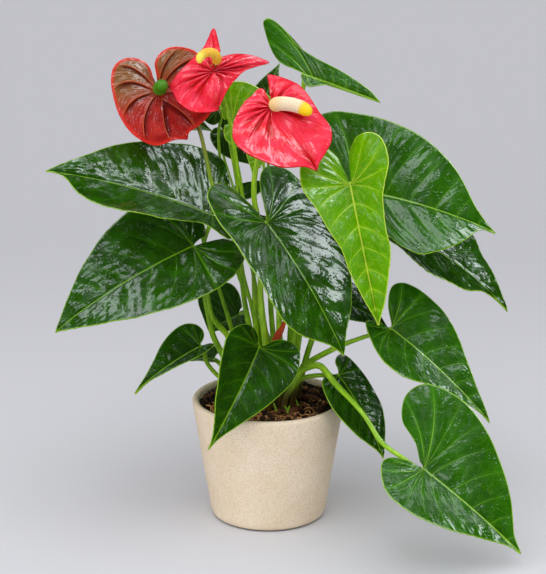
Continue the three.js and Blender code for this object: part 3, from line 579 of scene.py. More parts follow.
def leaf_material(name, deep, light, vein, rim, basal_veins=0.7, side_veins=0.17, wet=1.0, under=False):
    """Leaf skin: veins that run along the rays, a faint network between them and a pale rim.  A wet
    film lies in streaks along the veins and breaks up the sheen."""
    shader = Shader(name, Specular_IOR_Level=0.3 if under else 0.5, Coat_Weight=0.0 if under else 0.7 * wet,
                    Coat_Roughness=0.04, Coat_IOR=1.5)
    fade = shader.fade
    ray, spread, edge = shader.attribute("vein")
    along, across, out = shader.attribute("place")
    flat = shader.combine(along, across)

    near = shader.sum("PINGPONG", ray, 0.5) * spread
    basal = fade(ray, 3.3, 3.7, basal_veins, side_veins)
    side = fade(near / fade(out, 0.0, 1.0, 0.75, 0.25), 0.35, 1.1, 1.0, 0.0)
    side = side * (basal * fade(out, 0.7, 1.0, 1.0, 0.2))
    rib = fade(across / fade(along, -5.0, 130.0, 1.1, 0.5), 0.45, 1.0, 1.0, 0.0)
    drift = shader.node("ShaderNodeTexNoise", {"Vector": flat, "Scale": 0.16, "Detail": 1.0}, "Color")
    wander = shader.node("ShaderNodeVectorMath", {0: flat, 1: shader.scaled(drift, 5.0)}, operation="ADD")
    net = fade(shader.cells(wander, 8.0, "DISTANCE_TO_EDGE"), 0.012, 0.06, 0.28 * side_veins, 0.0)
    lines = shader.sum("MAXIMUM", rib, shader.sum("MAXIMUM", side, net))

    patches = shader.noise(flat, 26.0, 3.0, 0.55)
    grain = shader.noise(flat, 1.7, 2.0, 0.6)
    glow = fade(near, 0.0, 4.0, 0.45, 0.0) * basal
    blade = shader.blend(fade(patches + glow + grain * 0.15, 0.35, 1.0), deep, light)
    veined = shader.blend(lines * 0.9, blade, vein)
    shader.colour(shader.blend(fade(edge, 0.35, 0.95, 0.9, 0.0), veined, rim))

    def streaks(across_veins, along_veins, detail):
        stretched = shader.combine(ray * across_veins, out * along_veins)
        return shader.noise(stretched, 1.0, detail, 0.55, 0.6)
    film = fade(shader.noise(flat, 22.0, 3.0, 0.6, 0.3), 0.44, 0.56)
    height = streaks(1.5, 2.2, 1.5) * 0.7 + grain * (0.07 * wet)
    height = height + streaks(5.5, 6.0, 2.0) * (film * (0.3 * wet))
    height = height + shader.drops(flat, 2.3, 0.54, 0.4) * (0.4 * wet)
    shader.bump(height - lines * (-0.3 if under else 0.2), 0.5 if under else 0.9, coat=not under)
    dry = 0.5 if under else 0.26
    shader.rough(fade(film, 0.2, 0.8, dry, dry - 0.1 * wet))
    return shader.material


def spathe_material(name, main, dark, light, line, rim, lobe=None):
    """Waxy flower bract: painted shade, a deep colour, in its creases and lighter skin between them.  One
    with a lobe colour has terraces that rise to pale veins, with painted shade in the groove beside each, and
    the others are puckered in the middle."""
    shader = Shader(name, Specular_IOR_Level=0.25, Coat_Weight=0.8, Coat_Roughness=0.05, Coat_IOR=1.5)
    fade = shader.fade
    ray, spread, edge = shader.attribute("vein")
    along, across, out = shader.attribute("place")
    flat = shader.combine(along, across)
    mottle = shader.noise(flat, 13.0, 3.0, 0.55, 0.3)
    turn = shader.sum("PINGPONG", ray, 0.5)
    near = turn * spread
    reach = out + (mottle - 0.5) * 0.6
    blade = shader.blend(fade(mottle, 0.3, 0.7), main, light)
    stretched = shader.combine(ray * 3.0, out * 2.4)
    pucker = shader.noise(stretched, 1.0, 2.0, 0.5, 0.5)
    if lobe:
        part = shader.sum("FRACT", ray)
        # painted shade: the dark colour fills the groove just forward of each vein
        deep = fade(part, 0.0, 0.05) * fade(part, 0.1, 0.42, 1.0, 0.0) * fade(reach, 0.6, 0.9, 0.85, 0.0)
        blade = shader.blend(fade(along + mottle * 16.0, -14.0, 20.0, 0.9, 0.0), blade, lobe)
        blade = shader.blend(fade(edge, 1.0, 4.5, 0.6, 0.0), blade, rim)
        veins = fade(near, 0.25, 0.95, 0.9, 0.0) * fade(out, 0.8, 0.97, 1.0, 0.0)
    else:
        # painted shade: the dark colour fills the creases near the spathe's base
        deep = fade(turn, 0.1, 0.38, 1.0, 0.0) * fade(reach, 0.28, 0.66, 1.0, 0.0)
        veins = fade(near, 0.1, 0.6, 0.6, 0.0) * fade(out, 0.8, 0.97, 1.0, 0.0) * fade(out, 0.4, 0.6)
        pucker = pucker * fade(out, 0.35, 0.75, 1.0, 0.4)
    blade = shader.blend(veins, shader.blend(deep, blade, dark), line)
    # the skin's own dark spots, in the same dark colour as the painted crease shade
    blade = shader.blend(fade(shader.cells(flat, 12.0), 0.05, 0.1, 0.9, 0.0), blade, dark)
    shader.colour(shader.blend(fade(edge, 0.4, 1.4, 0.9, 0.0), blade, rim))
    shader.bump(pucker * 1.9 + shader.drops(flat, 2.1, 0.52, 0.42) * 0.25, 1.0, coat=True)
    shader.rough(fade(mottle, 0.3, 0.8, 0.34, 0.2))
    return shader.material


def stalk_material(name, pale, deep, foot, top=None):
    """Fleshy stalk: lengthwise streaks and a dry brown foot."""
    shader = Shader(name, Specular_IOR_Level=0.45, Coat_Weight=0.25, Coat_Roughness=0.2)
    run, around, length = shader.attribute("tone")
    streak = shader.noise(shader.combine(length * 0.04, around), 0.5, 3.0, 0.6)
    speck = shader.noise(shader.place(), 2.2)
    uneven = streak + speck * 0.3
    body = shader.blend(shader.fade(uneven, 0.4, 0.95), pale, deep)
    body = shader.blend(shader.fade(length + speck * 16.0, 36.0, 62.0, 0.94, 0.0), body, foot)
    if top:
        body = shader.blend(shader.fade(run, 0.6, 0.95, 0.0, 0.85), body, top)
    shader.colour(body)
    shader.rough(shader.fade(streak, 0.3, 0.7, 0.34, 0.48))
    shader.bump(uneven, 0.25)
    return shader.material


def spadix_material(name, base, middle, end, groove):
    """Packed florets: colour from base to end, with painted shade in the grooves between them."""
    shader = Shader(name, Specular_IOR_Level=0.35, Subsurface_Weight=0.12, Subsurface_Scale=0.002)
    run, floret, _ = shader.attribute("tone")
    speck = shader.noise(shader.place(), 0.8, 2.0, 0.6)
    where = run + (speck - 0.5) * 0.12
    body = shader.blend(shader.fade(where, 0.08, 0.42), base, middle)
    body = shader.blend(shader.fade(where, 0.68, 0.78), body, end)
    # painted shade: the groove colour darkens the hollows between the florets
    shader.colour(shader.blend(shader.fade(floret, 0.15, 0.8, 0.85, 0.0), body, groove))
    shader.rough(shader.fade(speck, 0.3, 0.7, 0.4, 0.6))
    shader.bump(speck, 0.2)
    return shader.material


def pot_material():
    """Matt cream stoneware with fine tan specks and sand, and a painted contact shadow where it stands."""
    shader = Shader("pot_stoneware", Specular_IOR_Level=0.4)
    where = shader.place()
    clouds = shader.noise(where, 30.0, 4.0, 0.6)
    sand = shader.noise(where, 0.7, 2.0, 0.7)
    body = shader.blend(shader.fade(clouds, 0.3, 0.75), rgb(250, 233, 208), rgb(243, 223, 194))
    body = shader.blend(shader.fade(sand, 0.5, 0.68, 0.0, 0.75), body, rgb(196, 160, 118))
    dots = shader.cells(where, SPECK_SIZE) - shader.cell_tone(where, SPECK_SIZE) * 0.32
    body = shader.blend(shader.fade(dots, -0.07, 0.03, 0.7, 0.0), body, rgb(164, 122, 80))
    # painted shadow: the bottom two millimetres of the pot are darkened as a contact shadow on the floor
    height = shader.split(where)[2]
    shader.colour(shader.blend(shader.fade(height, 0.9, 2.2, 0.85, 0.0), body, rgb(70, 54, 42)))
    shader.rough(shader.fade(clouds, 0.3, 0.7, 0.55, 0.68))
    shader.bump(sand * 0.7 + clouds * 0.6, 0.35)
    return shader.material


def soil_material():
    shader = Shader("soil_crumbs", Specular_IOR_Level=0.3)
    where = shader.place()
    deep = shader.noise(where, 1.4, 4.0, 0.7)
    tone = shader.cell_tone(where, CRUMB_SIZE)
    body = shader.blend(shader.fade(tone, 0.2, 1.0), rgb(12, 8, 6), rgb(46, 30, 18))
    shader.colour(shader.blend(shader.fade(deep, 0.5, 0.72), body, rgb(92, 64, 44)))
    shader.rough(shader.fade(deep, 0.3, 0.7, 0.75, 0.95))
    shader.bump(shader.cells(where, CRUMB_SIZE) + deep * 0.8, 1.6)
    return shader.material


def shred_material(name, dark, light, roughness=0.8):
    """Bark, roots and dry bracts: one tone for each piece, with fibres."""
    shader = Shader(name, Specular_IOR_Level=0.35)
    tone, along, around = shader.attribute("tone")
    fibre = shader.noise(shader.combine(along * 0.25, around, tone), 0.22, 3.0, 0.65)
    grit = shader.noise(shader.place(), 1.2, 3.0, 0.65)
    body = shader.blend(shader.fade(tone * 0.7 + fibre * 0.3, 0.1, 0.95), dark, light)
    shader.colour(shader.blend(shader.fade(grit, 0.35, 0.6, 0.55, 0.0), body, dark))
    shader.rough(shader.fade(grit, 0.3, 0.7, roughness - 0.1, roughness + 0.12))
    shader.bump(fibre + grit, 0.5)
    return shader.material


def leaf_skins(look, rim, upper, under, **options):
    """The two skins of a blade, each from its deep, its light and its vein colour."""
    return (leaf_material(f"leaf_{look}_upper", *upper, rim, **options),
            leaf_material(f"leaf_{look}_under", *under, rim, under=True))


LEAF_SKINS = {
    "dark": leaf_skins("dark", rgb(146, 190, 40), (rgb(26, 64, 0), rgb(44, 104, 2), rgb(122, 172, 20)),
                       (rgb(60, 106, 34), rgb(88, 134, 52), rgb(140, 172, 74))),
    "fresh": leaf_skins("fresh", rgb(150, 196, 50), (rgb(32, 84, 0), rgb(56, 122, 12), rgb(140, 190, 44)),
                        (rgb(70, 118, 40), rgb(100, 146, 58), rgb(146, 178, 80)), side_veins=0.26),
    "lime": leaf_skins("lime", rgb(196, 226, 70), (rgb(88, 154, 0), rgb(112, 176, 0), rgb(196, 220, 60)),
                       (rgb(120, 166, 40), rgb(150, 190, 60), rgb(196, 216, 90)), basal_veins=0.8,
                       side_veins=0.6),
    "back": leaf_skins("back", rgb(110, 150, 50), (rgb(24, 54, 4), rgb(38, 82, 12), rgb(84, 130, 34)),
                       (rgb(48, 90, 32), rgb(74, 118, 46), rgb(116, 150, 64)), basal_veins=0.5,
                       side_veins=0.3, wet=0.6),
}
# each spathe's second colour is painted shade in its creases, and also the skin's own dark spots
SPATHE_SKINS = {
    "red": spathe_material("spathe_red", rgb(242, 14, 44), rgb(200, 0, 6), rgb(250, 60, 88),
                           rgb(255, 110, 128), rgb(220, 0, 26)),
    "dark": spathe_material("spathe_dark", rgb(160, 8, 4), rgb(92, 0, 0), rgb(188, 40, 30),
                            rgb(196, 92, 54), rgb(232, 44, 36), rgb(124, 88, 40)),
}
LEAF_STALK = stalk_material("stalk_green", rgb(170, 218, 24), rgb(94, 156, 0), rgb(78, 46, 22))
FLOWER_STALKS = {
    "left": stalk_material("stalk_brownish", rgb(142, 186, 10), rgb(94, 142, 4), rgb(84, 48, 24),
                           rgb(132, 96, 24)),
    "middle": LEAF_STALK,
    "right": stalk_material("stalk_light", rgb(180, 222, 40), rgb(122, 182, 8), rgb(84, 48, 24)),
}
# the last colour of each spike is painted shade for the grooves between its florets
SPADIX_SKINS = {
    "left": spadix_material("spadix_green", rgb(92, 150, 14), rgb(82, 148, 10), rgb(70, 136, 6),
                            rgb(34, 88, 0)),
    "middle": spadix_material("spadix_yellow", rgb(252, 184, 44), rgb(254, 216, 70), rgb(255, 230, 84),
                              rgb(238, 128, 0)),
    "right": spadix_material("spadix_cream", rgb(254, 224, 152), rgb(255, 250, 222), rgb(254, 216, 0),
                             rgb(240, 160, 84)),
}


# ---------------------------------------------------------------- blades
def blade_frame(blade):
    """A blade's base, the directions ahead, up from its face and to its left, and its length."""
    base = np.array(blade["base"], float)
    axis = np.array(blade["tip"], float) - base
    length = np.linalg.norm(axis)
    axis /= length
    face = np.array(blade["face"], float)
    face = unit(face - axis * (face @ axis))
    return base, axis, face, np.cross(face, axis), length


def heart_margin(length, width, lobe, full):
    """Margin of half a heart: round the lobe, out to the widest place, and on to the tip."""
    widest = (0.1 * length, width)
    back = (-lobe, 0.46 * width)
    start = (-0.78 * lobe, SINUS_WIDTH * width)
    pieces = (
        (start, (-0.93 * lobe, (SINUS_WIDTH + 0.06) * width), (-lobe, 0.27 * width), back),
        (back, (-lobe, 0.74 * width), (widest[0] - 0.45 * (widest[0] + lobe), width), widest),
        (widest, (0.46 * length, width), (0.8 * length, full * width), (length, 0)),
    )
    return np.concatenate([bezier(piece, 40)[(0 if i == 0 else 1):] for i, piece in enumerate(pieces)])


def half_margin(blade, side, length):
    if "outline" in blade:
        return even_curve([*blade["outline"][side], (length, 0)], MARGIN_RAYS)
    full = blade.get("full", TIP_FULLNESS)
    return evenly(heart_margin(length, blade["width"][side], blade["lobe"][side], full), MARGIN_RAYS)


def place_blade(blade, along, across, side):
    """Carries flat blade points to their place: an arched midrib, and a half that rises by its fold."""
    base, axis, face, left, length = blade_frame(blade)
    k = along / length
    arch = 4 * blade["bow"] * k * (1 - k)
    slope = 4 * blade["bow"] * (1 - 2 * k) / length
    up = np.cross(unit(axis + face * slope[..., None]), left)
    first, last = blade["fold"][side], blade.get("fold_tip", blade["fold"])[side]
    fold = np.radians(first + (last - first) * np.clip(k, 0, 1))[..., None]
    outward = left if side == 0 else -left
    sheet = outward * np.cos(fold) + up * np.sin(fold)
    normal = up * np.cos(fold) - outward * np.sin(fold)
    return base + axis * along[..., None] + face * arch[..., None] + sheet * across[..., None], normal


def half_grid(margin, roots, arch):
    """Flat (along, across, out) points on rays that leave the midrib at its roots and meet the margin.

    arch is how far back along the margin, as a share of it, a ray heads before it bends forward."""
    t = np.linspace(0, 1, RAY_STEPS + 1) ** 0.9
    root = roots[:, None]
    along, across = margin[:, :1], margin[:, 1:]
    bend_along, bend_across = root + 0.35 * (along - root), 0.62 * across
    if arch:
        spot = np.linspace(0, 1, len(margin))
        early = np.clip(spot - arch * np.minimum(1, 4 * spot) * np.minimum(1, 5 * (1 - spot)), 0, 1)
        behind = np.stack([np.interp(early, spot, margin[:, i]) for i in (0, 1)], axis=1)
        bend_along, bend_across = root + 0.74 * (behind[:, :1] - root), 0.74 * behind[:, 1:]
    return ((1 - t) ** 2 * root + 2 * (1 - t) * t * bend_along + t ** 2 * along,
            2 * (1 - t) * t * bend_across + t ** 2 * across, np.broadcast_to(t, (len(margin), len(t))))


def leaf_relief(leaf, along, across, out, vein, near, edge, seed):
    """How far a leaf's skin stands above its plain sheet, in millimetres."""
    size = blade_frame(leaf)[4] / USUAL_LEAF
    ripples = waves(12 * vein, 14 * out, seed + 1, (4.1, 3.1, 5.3))
    height = LEAF_PUCKER * size * np.sin(math.pi * vein) ** 2 * np.sin(math.pi * np.clip(out, 0, 1) ** 0.8)
    height -= 0.3 * bump_at(near, 0.8) * (1 - out)
    height -= 0.7 * bump_at(across, 1.6)
    height += 0.6 * size * waves(along, across, seed, (48, 33, 61)) * np.clip(across / 8, 0, 1)
    height += 0.2 * size * ripples * np.clip(across / 5, 0, 1)
    height += 0.6 * size * bump_at(edge, 14) * waves(along, across, seed + 2, (60, 44, 75))
    return height - 0.5 * size * bump_at(edge, 6)


def spathe_relief(flower, along, across, out, vein, near, edge, seed):
    """Pillows of skin between radiating creases, or terraces that rise to each vein."""
    u = vein - np.floor(vein)
    inner = np.clip(out * 4, 0, 1)
    if "folds" in flower:
        folds = np.array(flower["folds"])
        index = np.clip(np.round(vein).astype(int), 0, len(folds) - 1)
        depth, reach = folds[index, 0], folds[index, 1]
        hollow = np.exp(-np.abs(vein - np.round(vein)) * 5.0)
        height = -depth * hollow * inner * (1 - step_up(out, reach - 0.3, reach + 0.1))
        height += 1.3 * np.abs(np.sin(math.pi * u)) ** 0.7 * inner * (1 - step_up(out, 0.3, 0.8))
    else:
        rise = np.clip((u - TERRACE_GROOVE) / (1 - TERRACE_GROOVE), 0, 1) ** 0.8
        terrace = np.where(u < TERRACE_GROOVE, 1 - step_up(u, 0, TERRACE_GROOVE), rise)
        height = 2.2 * (terrace - 0.5) * inner * (1 - step_up(out, 0.72, 0.95))
        height += 0.35 * bump_at(near, 0.7) * inner * (1 - step_up(out, 0.8, 0.97))
    height += 0.8 * waves(along, across, seed, (36, 27, 43)) * np.clip(out * 2, 0, 1)
    height += 0.1 * waves(along, across, seed + 1, (6.5, 8.2, 7.3)) * np.clip(out * 2, 0, 1)
    height += 0.6 * bump_at(edge, 8) * waves(along, across, seed + 2, (38, 27, 52))
    return height - 0.9 * bump_at(edge, 4)


def blade_half(blade, side, margin, roots, relief, seed):
    """Skin points of one half, with the numbers that its material reads."""
    along, across, out = half_grid(margin, roots, blade.get("arch", 0.0))
    spots = blade.get("veins", VEIN_SPOTS)
    ray = np.interp(np.linspace(0, 1, len(margin)), spots, np.arange(len(spots)))
    vein = ray[:, None] * np.ones_like(out)
    flat = np.stack([along, across], axis=-1)
    step = np.linalg.norm(np.gradient(flat, axis=0), axis=-1)
    spread = step / np.maximum(1e-6, np.abs(np.gradient(vein, axis=0)))
    edge = np.min(np.linalg.norm(flat[:, :, None, :] - margin[None, None, :, :], axis=-1), axis=2)
    edge = np.minimum(edge, FAR_FROM_EDGE)
    edge[:, -1] = 0
    near = np.abs(vein - np.round(vein)) * spread
    height = relief(blade, along, across, out, vein, near, edge, seed)
    points, normal = place_blade(blade, along, across, side)
    return dict(points=points + normal * height[..., None], normal=normal,
                vein=np.stack([vein, spread, edge], axis=-1), place=np.stack([along, across, out], axis=-1))


def open_edges(faces):
    """The edges that only one face has, in its direction."""
    edges = {}
    for face in faces:
        for a, b in zip(face, face[1:] + face[:1]):
            if (b, a) in edges:
                del edges[(b, a)]
            else:
                edges[(a, b)] = True
    return list(edges)


def blade_piece(name, blade, skins, slot, thickness, relief, seed, slope):
    """A closed blade with an upper and a lower skin, its two halves joined along the midrib."""
    length = blade_frame(blade)[4]
    margins = [half_margin(blade, side, length) for side in (0, 1)]
    own = [np.maximum(0, margin[:, 0] - slope * margin[:, 1]) for margin in margins]
    roots = np.maximum.accumulate((own[0] + own[1]) / 2)
    halves = [blade_half(blade, side, margins[side], roots, relief, seed) for side in (0, 1)]
    middle = (halves[0]["points"][:, 0] + halves[1]["points"][:, 0]) / 2
    up = unit(halves[0]["normal"][:, 0] + halves[1]["normal"][:, 0])
    for half in halves:
        half["points"][:, 0] = middle
        half["normal"][:, 0] = up

    # points of the same place become one
    rows, columns = halves[0]["points"].shape[:2]
    index = np.empty((2, rows, columns), int)
    order = {}
    for side, row, column in np.ndindex(index.shape):
        key = tuple(np.round(halves[side]["points"][row, column], 3))
        first = order.setdefault(key, (len(order), side, row, column))
        index[side, row, column] = first[0]
    points, normal, vein, place = (np.array([halves[s][key][r, c] for _, s, r, c in order.values()])
                                   for key in ("points", "normal", "vein", "place"))
    top = []
    for side, row, column in np.ndindex(2, rows - 1, columns - 1):
        a, b = index[side, row, column], index[side, row, column + 1]
        d, c = index[side, row + 1, column], index[side, row + 1, column + 1]
        face = tuple(dict.fromkeys((a, b, c, d)))
        if len(face) > 2:
            top.append(face[::-1] if side == 0 else face)

    count = len(points)
    rib = bump_at(place[:, 1], 1.1) * np.clip(1.15 - place[:, 0] / length, 0.1, 1) * blade["radius"] * 0.6
    below = points - normal * (thickness + rib)[:, None]
    under = [tuple(i + count for i in face[::-1]) for face in top]
    wall = [(b, a, a + count, b + count) for a, b in open_edges(top)]
    parts = [0] * len(top) + [1] * (len(under) + len(wall))
    attributes = {"vein": np.concatenate([vein, vein]), "place": np.concatenate([place, place])}
    add_piece(name + "_skin", np.concatenate([points, below]), top + under + wall, skins, [name],
              attributes, parts)


# ---------------------------------------------------------------- stalks and flower spikes
def stalk_piece(name, blade, material, neck_swell=0.0):
    """A fleshy stalk from the soil to its blade, with a thicker foot and often a swollen neck."""
    base, axis, face = blade_frame(blade)[:3]
    end = base - face * LEAF_THICKNESS
    neck = end - face * 6 - axis * 1.5
    x, y = blade["foot"]
    route = [(x, y, SOIL_LEVEL - SOIL_DEPTH), (x, y, SOIL_LEVEL), *blade["stalk"], neck, end]
    line = even_curve(route, STALK_STEPS)
    run = np.linspace(0, 1, len(line))
    tall = line_steps(line).sum()
    sheath = SHEATH_SWELL * (1 - step_up(run * tall, *SHEATH_FADE))
    radii = blade["radius"] * (1 + sheath + neck_swell * bump_at((1 - run) * tall - 7, 6))
    radii *= 1 + 0.03 * waves(run * tall, 0 * run, len(name), (23, 37, 51))

    def ridge(angles, row):
        return 1 + 0.05 * np.cos(2 * angles + 1) + 0.03 * np.cos(5 * angles)
    points, faces = tube(line, radii, STALK_SIDES, ridge)
    each = np.repeat(run, STALK_SIDES)
    tone = tube_tones(each, around_tube(len(line), STALK_SIDES), each * tall, [(0, 0, 0), (1, 0, tall)])
    add_piece(name + "_skin", points, faces, [material], [name], {"tone": tone})


def spadix_piece(name, flower, material):
    """A spike closely set with florets in crossing spirals."""
    line = even_curve(flower["spike"], SPIKE_STEPS)
    run = np.linspace(0, 1, len(line))
    start = np.sqrt(1 - (1 - np.minimum(1, run / 0.14)) ** 2)
    end = np.sqrt(np.maximum(0, 1 - np.maximum(0, (run - 0.8) / 0.2) ** 2))
    profile = np.maximum(0.02, np.minimum(start, end)) * (1 - 0.12 * run) * flower["spike_radius"]
    rows = round(line_steps(line).sum() / FLORET_PITCH)
    turns = FLORET_SPIRALS * ring_angles(SPIKE_SIDES)[None, :]
    climb = math.pi * rows * run[:, None]
    floret = np.sqrt(np.abs(np.cos(turns + climb) * np.cos(turns - climb)))
    depth = SPIKE_BUMP * np.clip((SMOOTH_END - run) / 0.3, 0.25, 1)[:, None]

    def ridge(angles, row):
        return 1 - depth[row] + 1.3 * depth[row] * floret[row]
    points, faces = tube(line, profile, SPIKE_SIDES, ridge)
    shade = np.maximum(floret, 1 - depth / SPIKE_BUMP)
    tone = tube_tones(np.repeat(run, SPIKE_SIDES), shade, np.zeros(shade.size), [(0, 0.3, 0), (1, 1, 0)])
    add_piece(name + "_skin", points, faces, [material], [name], {"tone": tone})


# ---------------------------------------------------------------- pot and soil
def outside(z):
    """The radius of the pot's outer wall at a height."""
    return POT_FOOT_RADIUS + (POT_RIM_RADIUS - POT_FOOT_RADIUS) * z / POT_HEIGHT


def inside(z):
    return outside(z) - POT_WALL


def make_pot():
    lip = POT_WALL / 2
    top = POT_HEIGHT - lip
    low = outside(0)
    foot = bezier([(low - POT_FOOT_ROUNDING, 0), (low - 2, 0), (low + 0.2, 2),
                   (outside(POT_FOOT_ROUNDING), POT_FOOT_ROUNDING)], 9)
    side = [(outside(z), z) for z in np.linspace(POT_FOOT_ROUNDING, top, 24)[1:-1]]
    arc = [(outside(top) - lip + lip * math.cos(angle), top + lip * math.sin(angle))
           for angle in np.linspace(0, math.pi, 15)]
    well = [(inside(z), z) for z in np.linspace(top, POT_FLOOR, 16)[1:]]
    profile = [(POT_MIDDLE, 0), *foot, *side, *arc, *well, (POT_MIDDLE, POT_FLOOR)]
    rings = [level_ring(radius, z, POT_SIDES) for radius, z in profile]
    points = np.concatenate([*rings, [(0, 0, 0), (0, 0, POT_FLOOR)]])
    faces = closed_faces(len(rings), POT_SIDES)
    add_piece("pot_stoneware", points, faces, [pot_material()], ["pot"])


def soil_height(x, y):
    lumps = np.sin(0.19 * x + 0.6) * np.cos(0.23 * y) + 0.6 * np.sin(0.31 * y - 0.27 * x + 1)
    bank = SOIL_BANK * (np.hypot(x, y) / inside(SOIL_LEVEL)) ** 3
    return SOIL_LEVEL + SOIL_RELIEF * 0.6 * lumps + bank


def make_soil():
    floor = POT_FLOOR + 0.5
    rows = [level_ring(inside(floor) - 0.6, floor, SOIL_SIDES)]
    for radius in np.linspace(inside(SOIL_LEVEL + 3) - 0.5, 1, SOIL_RINGS):
        row = level_ring(radius, 0, SOIL_SIDES)
        x, y = row[:, 0], row[:, 1]
        crumbs = 0.9 * waves(x, y, 5, (7, 9, 5.5, 11)) + 0.5 * waves(x, y, 6, (3.1, 3.9, 2.6))
        row[:, 2] = soil_height(x, y) + crumbs - 0.8
        rows.append(row)
    points = np.concatenate([*rows, [(0, 0, floor), (0, 0, soil_height(0, 0))]])
    faces = closed_faces(len(rows), SOIL_SIDES)
    add_piece("soil_bed", points, faces, [soil_material()], ["soil"])


def rotation(draw, flat):
    """A random turn that keeps a chip lying down more or less flat."""
    turn = draw.uniform(0, 2 * math.pi)
    tip, roll = draw.normal(0, flat, 2)
    cz, sz, cx, sx, cy, sy = (f(a) for a in (turn, tip, roll) for f in (math.cos, math.sin))
    about_z = np.array([(cz, -sz, 0), (sz, cz, 0), (0, 0, 1)])
    about_x = np.array([(1, 0, 0), (0, cx, -sx), (0, sx, cx)])
    about_y = np.array([(cy, 0, sy), (0, 1, 0), (-sy, 0, cy)])
    return about_z @ about_x @ about_y


def bark_chip(draw, length, width, height):
    """A splintered chip: a lozenge of rings with ragged ends."""
    rows, sides = 6, 7
    angles = ring_angles(sides)
    rings = []
    for t in np.linspace(0, 1, rows):
        swell = (0.35 + 0.65 * math.sin(math.pi * min(0.94, max(0.06, t)))) * draw.uniform(0.8, 1.15)
        x = (t - 0.5) * length + draw.normal(0, 0.05 * length, sides)
        y = 0.5 * width * swell * np.cos(angles) * draw.uniform(0.8, 1.2, sides)
        z = 0.5 * height * swell * np.sin(angles) * draw.uniform(0.7, 1.3, sides)
        rings.append(np.stack([x, y, z + 0.12 * length * (t - 0.5) ** 2], axis=1))
    points = np.concatenate([*rings, [rings[0].mean(axis=0)], [rings[-1].mean(axis=0)]])
    return points, closed_faces(rows, sides)


def bark_tones(tone, points):
    return np.stack([np.full(len(points), tone), points[:, 0], points[:, 1]], axis=1)


def spot_in_pot(draw, edge):
    radius = (inside(SOIL_LEVEL) - edge) * math.sqrt(draw.uniform(0, 1))
    angle = draw.uniform(0, 2 * math.pi)
    return radius * math.cos(angle), radius * math.sin(angle)


def chip_piece(name, draw, count, sizes, edge, lift, dark, light):
    """Loose bark of the given lengths lying on the soil, heaped up against the wall of the pot."""
    chips = Bundle()
    for _ in range(count):
        x, y = spot_in_pot(draw, edge)
        length = draw.uniform(*sizes)
        width, height = draw.uniform(0.3, 0.55) * length, draw.uniform(0.16, 0.35) * length
        points, faces = bark_chip(draw, length, width, height)
        heap = 1.4 * (math.hypot(x, y) / inside(SOIL_LEVEL)) ** 6
        place = (x, y, soil_height(x, y) + heap + draw.uniform(*lift))
        placed = points @ rotation(draw, 0.35).T + place
        chips.add(placed, faces, bark_tones(draw.uniform(0, 1) ** 2.2, points))
    chips.piece(name, shred_material(name, dark, light), "soil_bark")


def make_bark():
    draw = np.random.default_rng(BARK_SEED)
    chip_piece("bark_chips", draw, BARK_CHIPS, (3, 11), 6, (-0.6, 1.6), rgb(12, 8, 6), rgb(108, 70, 42))
    chip_piece("bark_chunks", draw, BARK_CHUNKS, (11, 20), 16, (0.5, 3.0), rgb(24, 14, 9), rgb(128, 74, 44))


def make_roots():
    """Thin root shreds that arch and curl over the bark."""
    draw = np.random.default_rng(ROOT_SEED)
    roots = Bundle()
    for _ in range(ROOT_SHREDS):
        x, y = spot_in_pot(draw, 8)
        heading = draw.uniform(0, 2 * math.pi)
        curl = draw.normal(0, 0.32)
        steps = draw.integers(6, 15)
        length = draw.uniform(1.0, 2.4)
        lift = draw.uniform(0.8, 4.2)
        route = []
        for i in range(steps):
            arch = math.sin(math.pi * i / (steps - 1))
            route.append((x, y, soil_height(x, y) + 0.6 + lift * arch))
            heading += curl + draw.normal(0, 0.22)
            x += length * math.cos(heading)
            y += length * math.sin(heading)
            if math.hypot(x, y) > inside(SOIL_LEVEL) - 3:
                heading += math.pi / 2
                x, y = 0.97 * x, 0.97 * y
        line = evenly(smooth_line(route, 4), 2 * steps)
        taper = draw.uniform(0.35, 1.0) * (1 - 0.5 * np.linspace(0, 1, len(line)) ** 2)
        roots.add(*tube(line, taper, 6), (draw.uniform(0.1, 1), 0, 0))
    material = shred_material("root_shreds", rgb(84, 42, 18), rgb(244, 178, 106), 0.7)
    roots.piece("root_shreds", material, "soil_bark")


def make_front_chunks():
    """Larger chunks and splinters of bark that lean on the foremost stalk feet."""
    draw = np.random.default_rng(FRONT_CHUNK_SEED)
    chips = Bundle()
    for x, y, length, turn in FRONT_CHUNKS:
        points, faces = bark_chip(draw, length, 0.42 * length, 0.34 * length)
        cosine, sine = math.cos(math.radians(turn)), math.sin(math.radians(turn))
        turned = points @ np.array([(cosine, sine, 0), (-sine, cosine, 0), (0, 0, 1)])
        place = (x, y, soil_height(x, y) + 0.14 * length)
        chips.add(turned + place, faces, bark_tones(draw.uniform(0.3, 1), points))
    chips.piece("bark_front", shred_material("bark_front", rgb(30, 14, 8), rgb(134, 78, 50)), "soil_bark")


def make_sprigs():
    """Young green shoots that come up between the bark and the stalk feet."""
    draw = np.random.default_rng(SPRIG_SEED)
    sprigs = Bundle()
    for x, y in SPRIG_PLACES:
        lean = draw.uniform(-1.2, 1.2, 2)
        tall = draw.uniform(6, 15)
        line = even_curve([(x, y, SOIL_LEVEL - 2), (x + lean[0], y + lean[1], SOIL_LEVEL + 0.5 * tall),
                           (x + 4 * lean[0], y + 4 * lean[1], SOIL_LEVEL + tall)], 14)
        swell = 0.35 + 0.35 * np.sin(math.pi * np.linspace(0, 1, len(line)) ** 1.6)
        points, faces = tube(line, swell, 8, lambda angles, row: 1 + 0.35 * np.cos(2 * angles))
        sprigs.add(points, faces, SPRIG_TONE)
    sprigs.piece("green_sprigs", LEAF_STALK, "stalk_green")


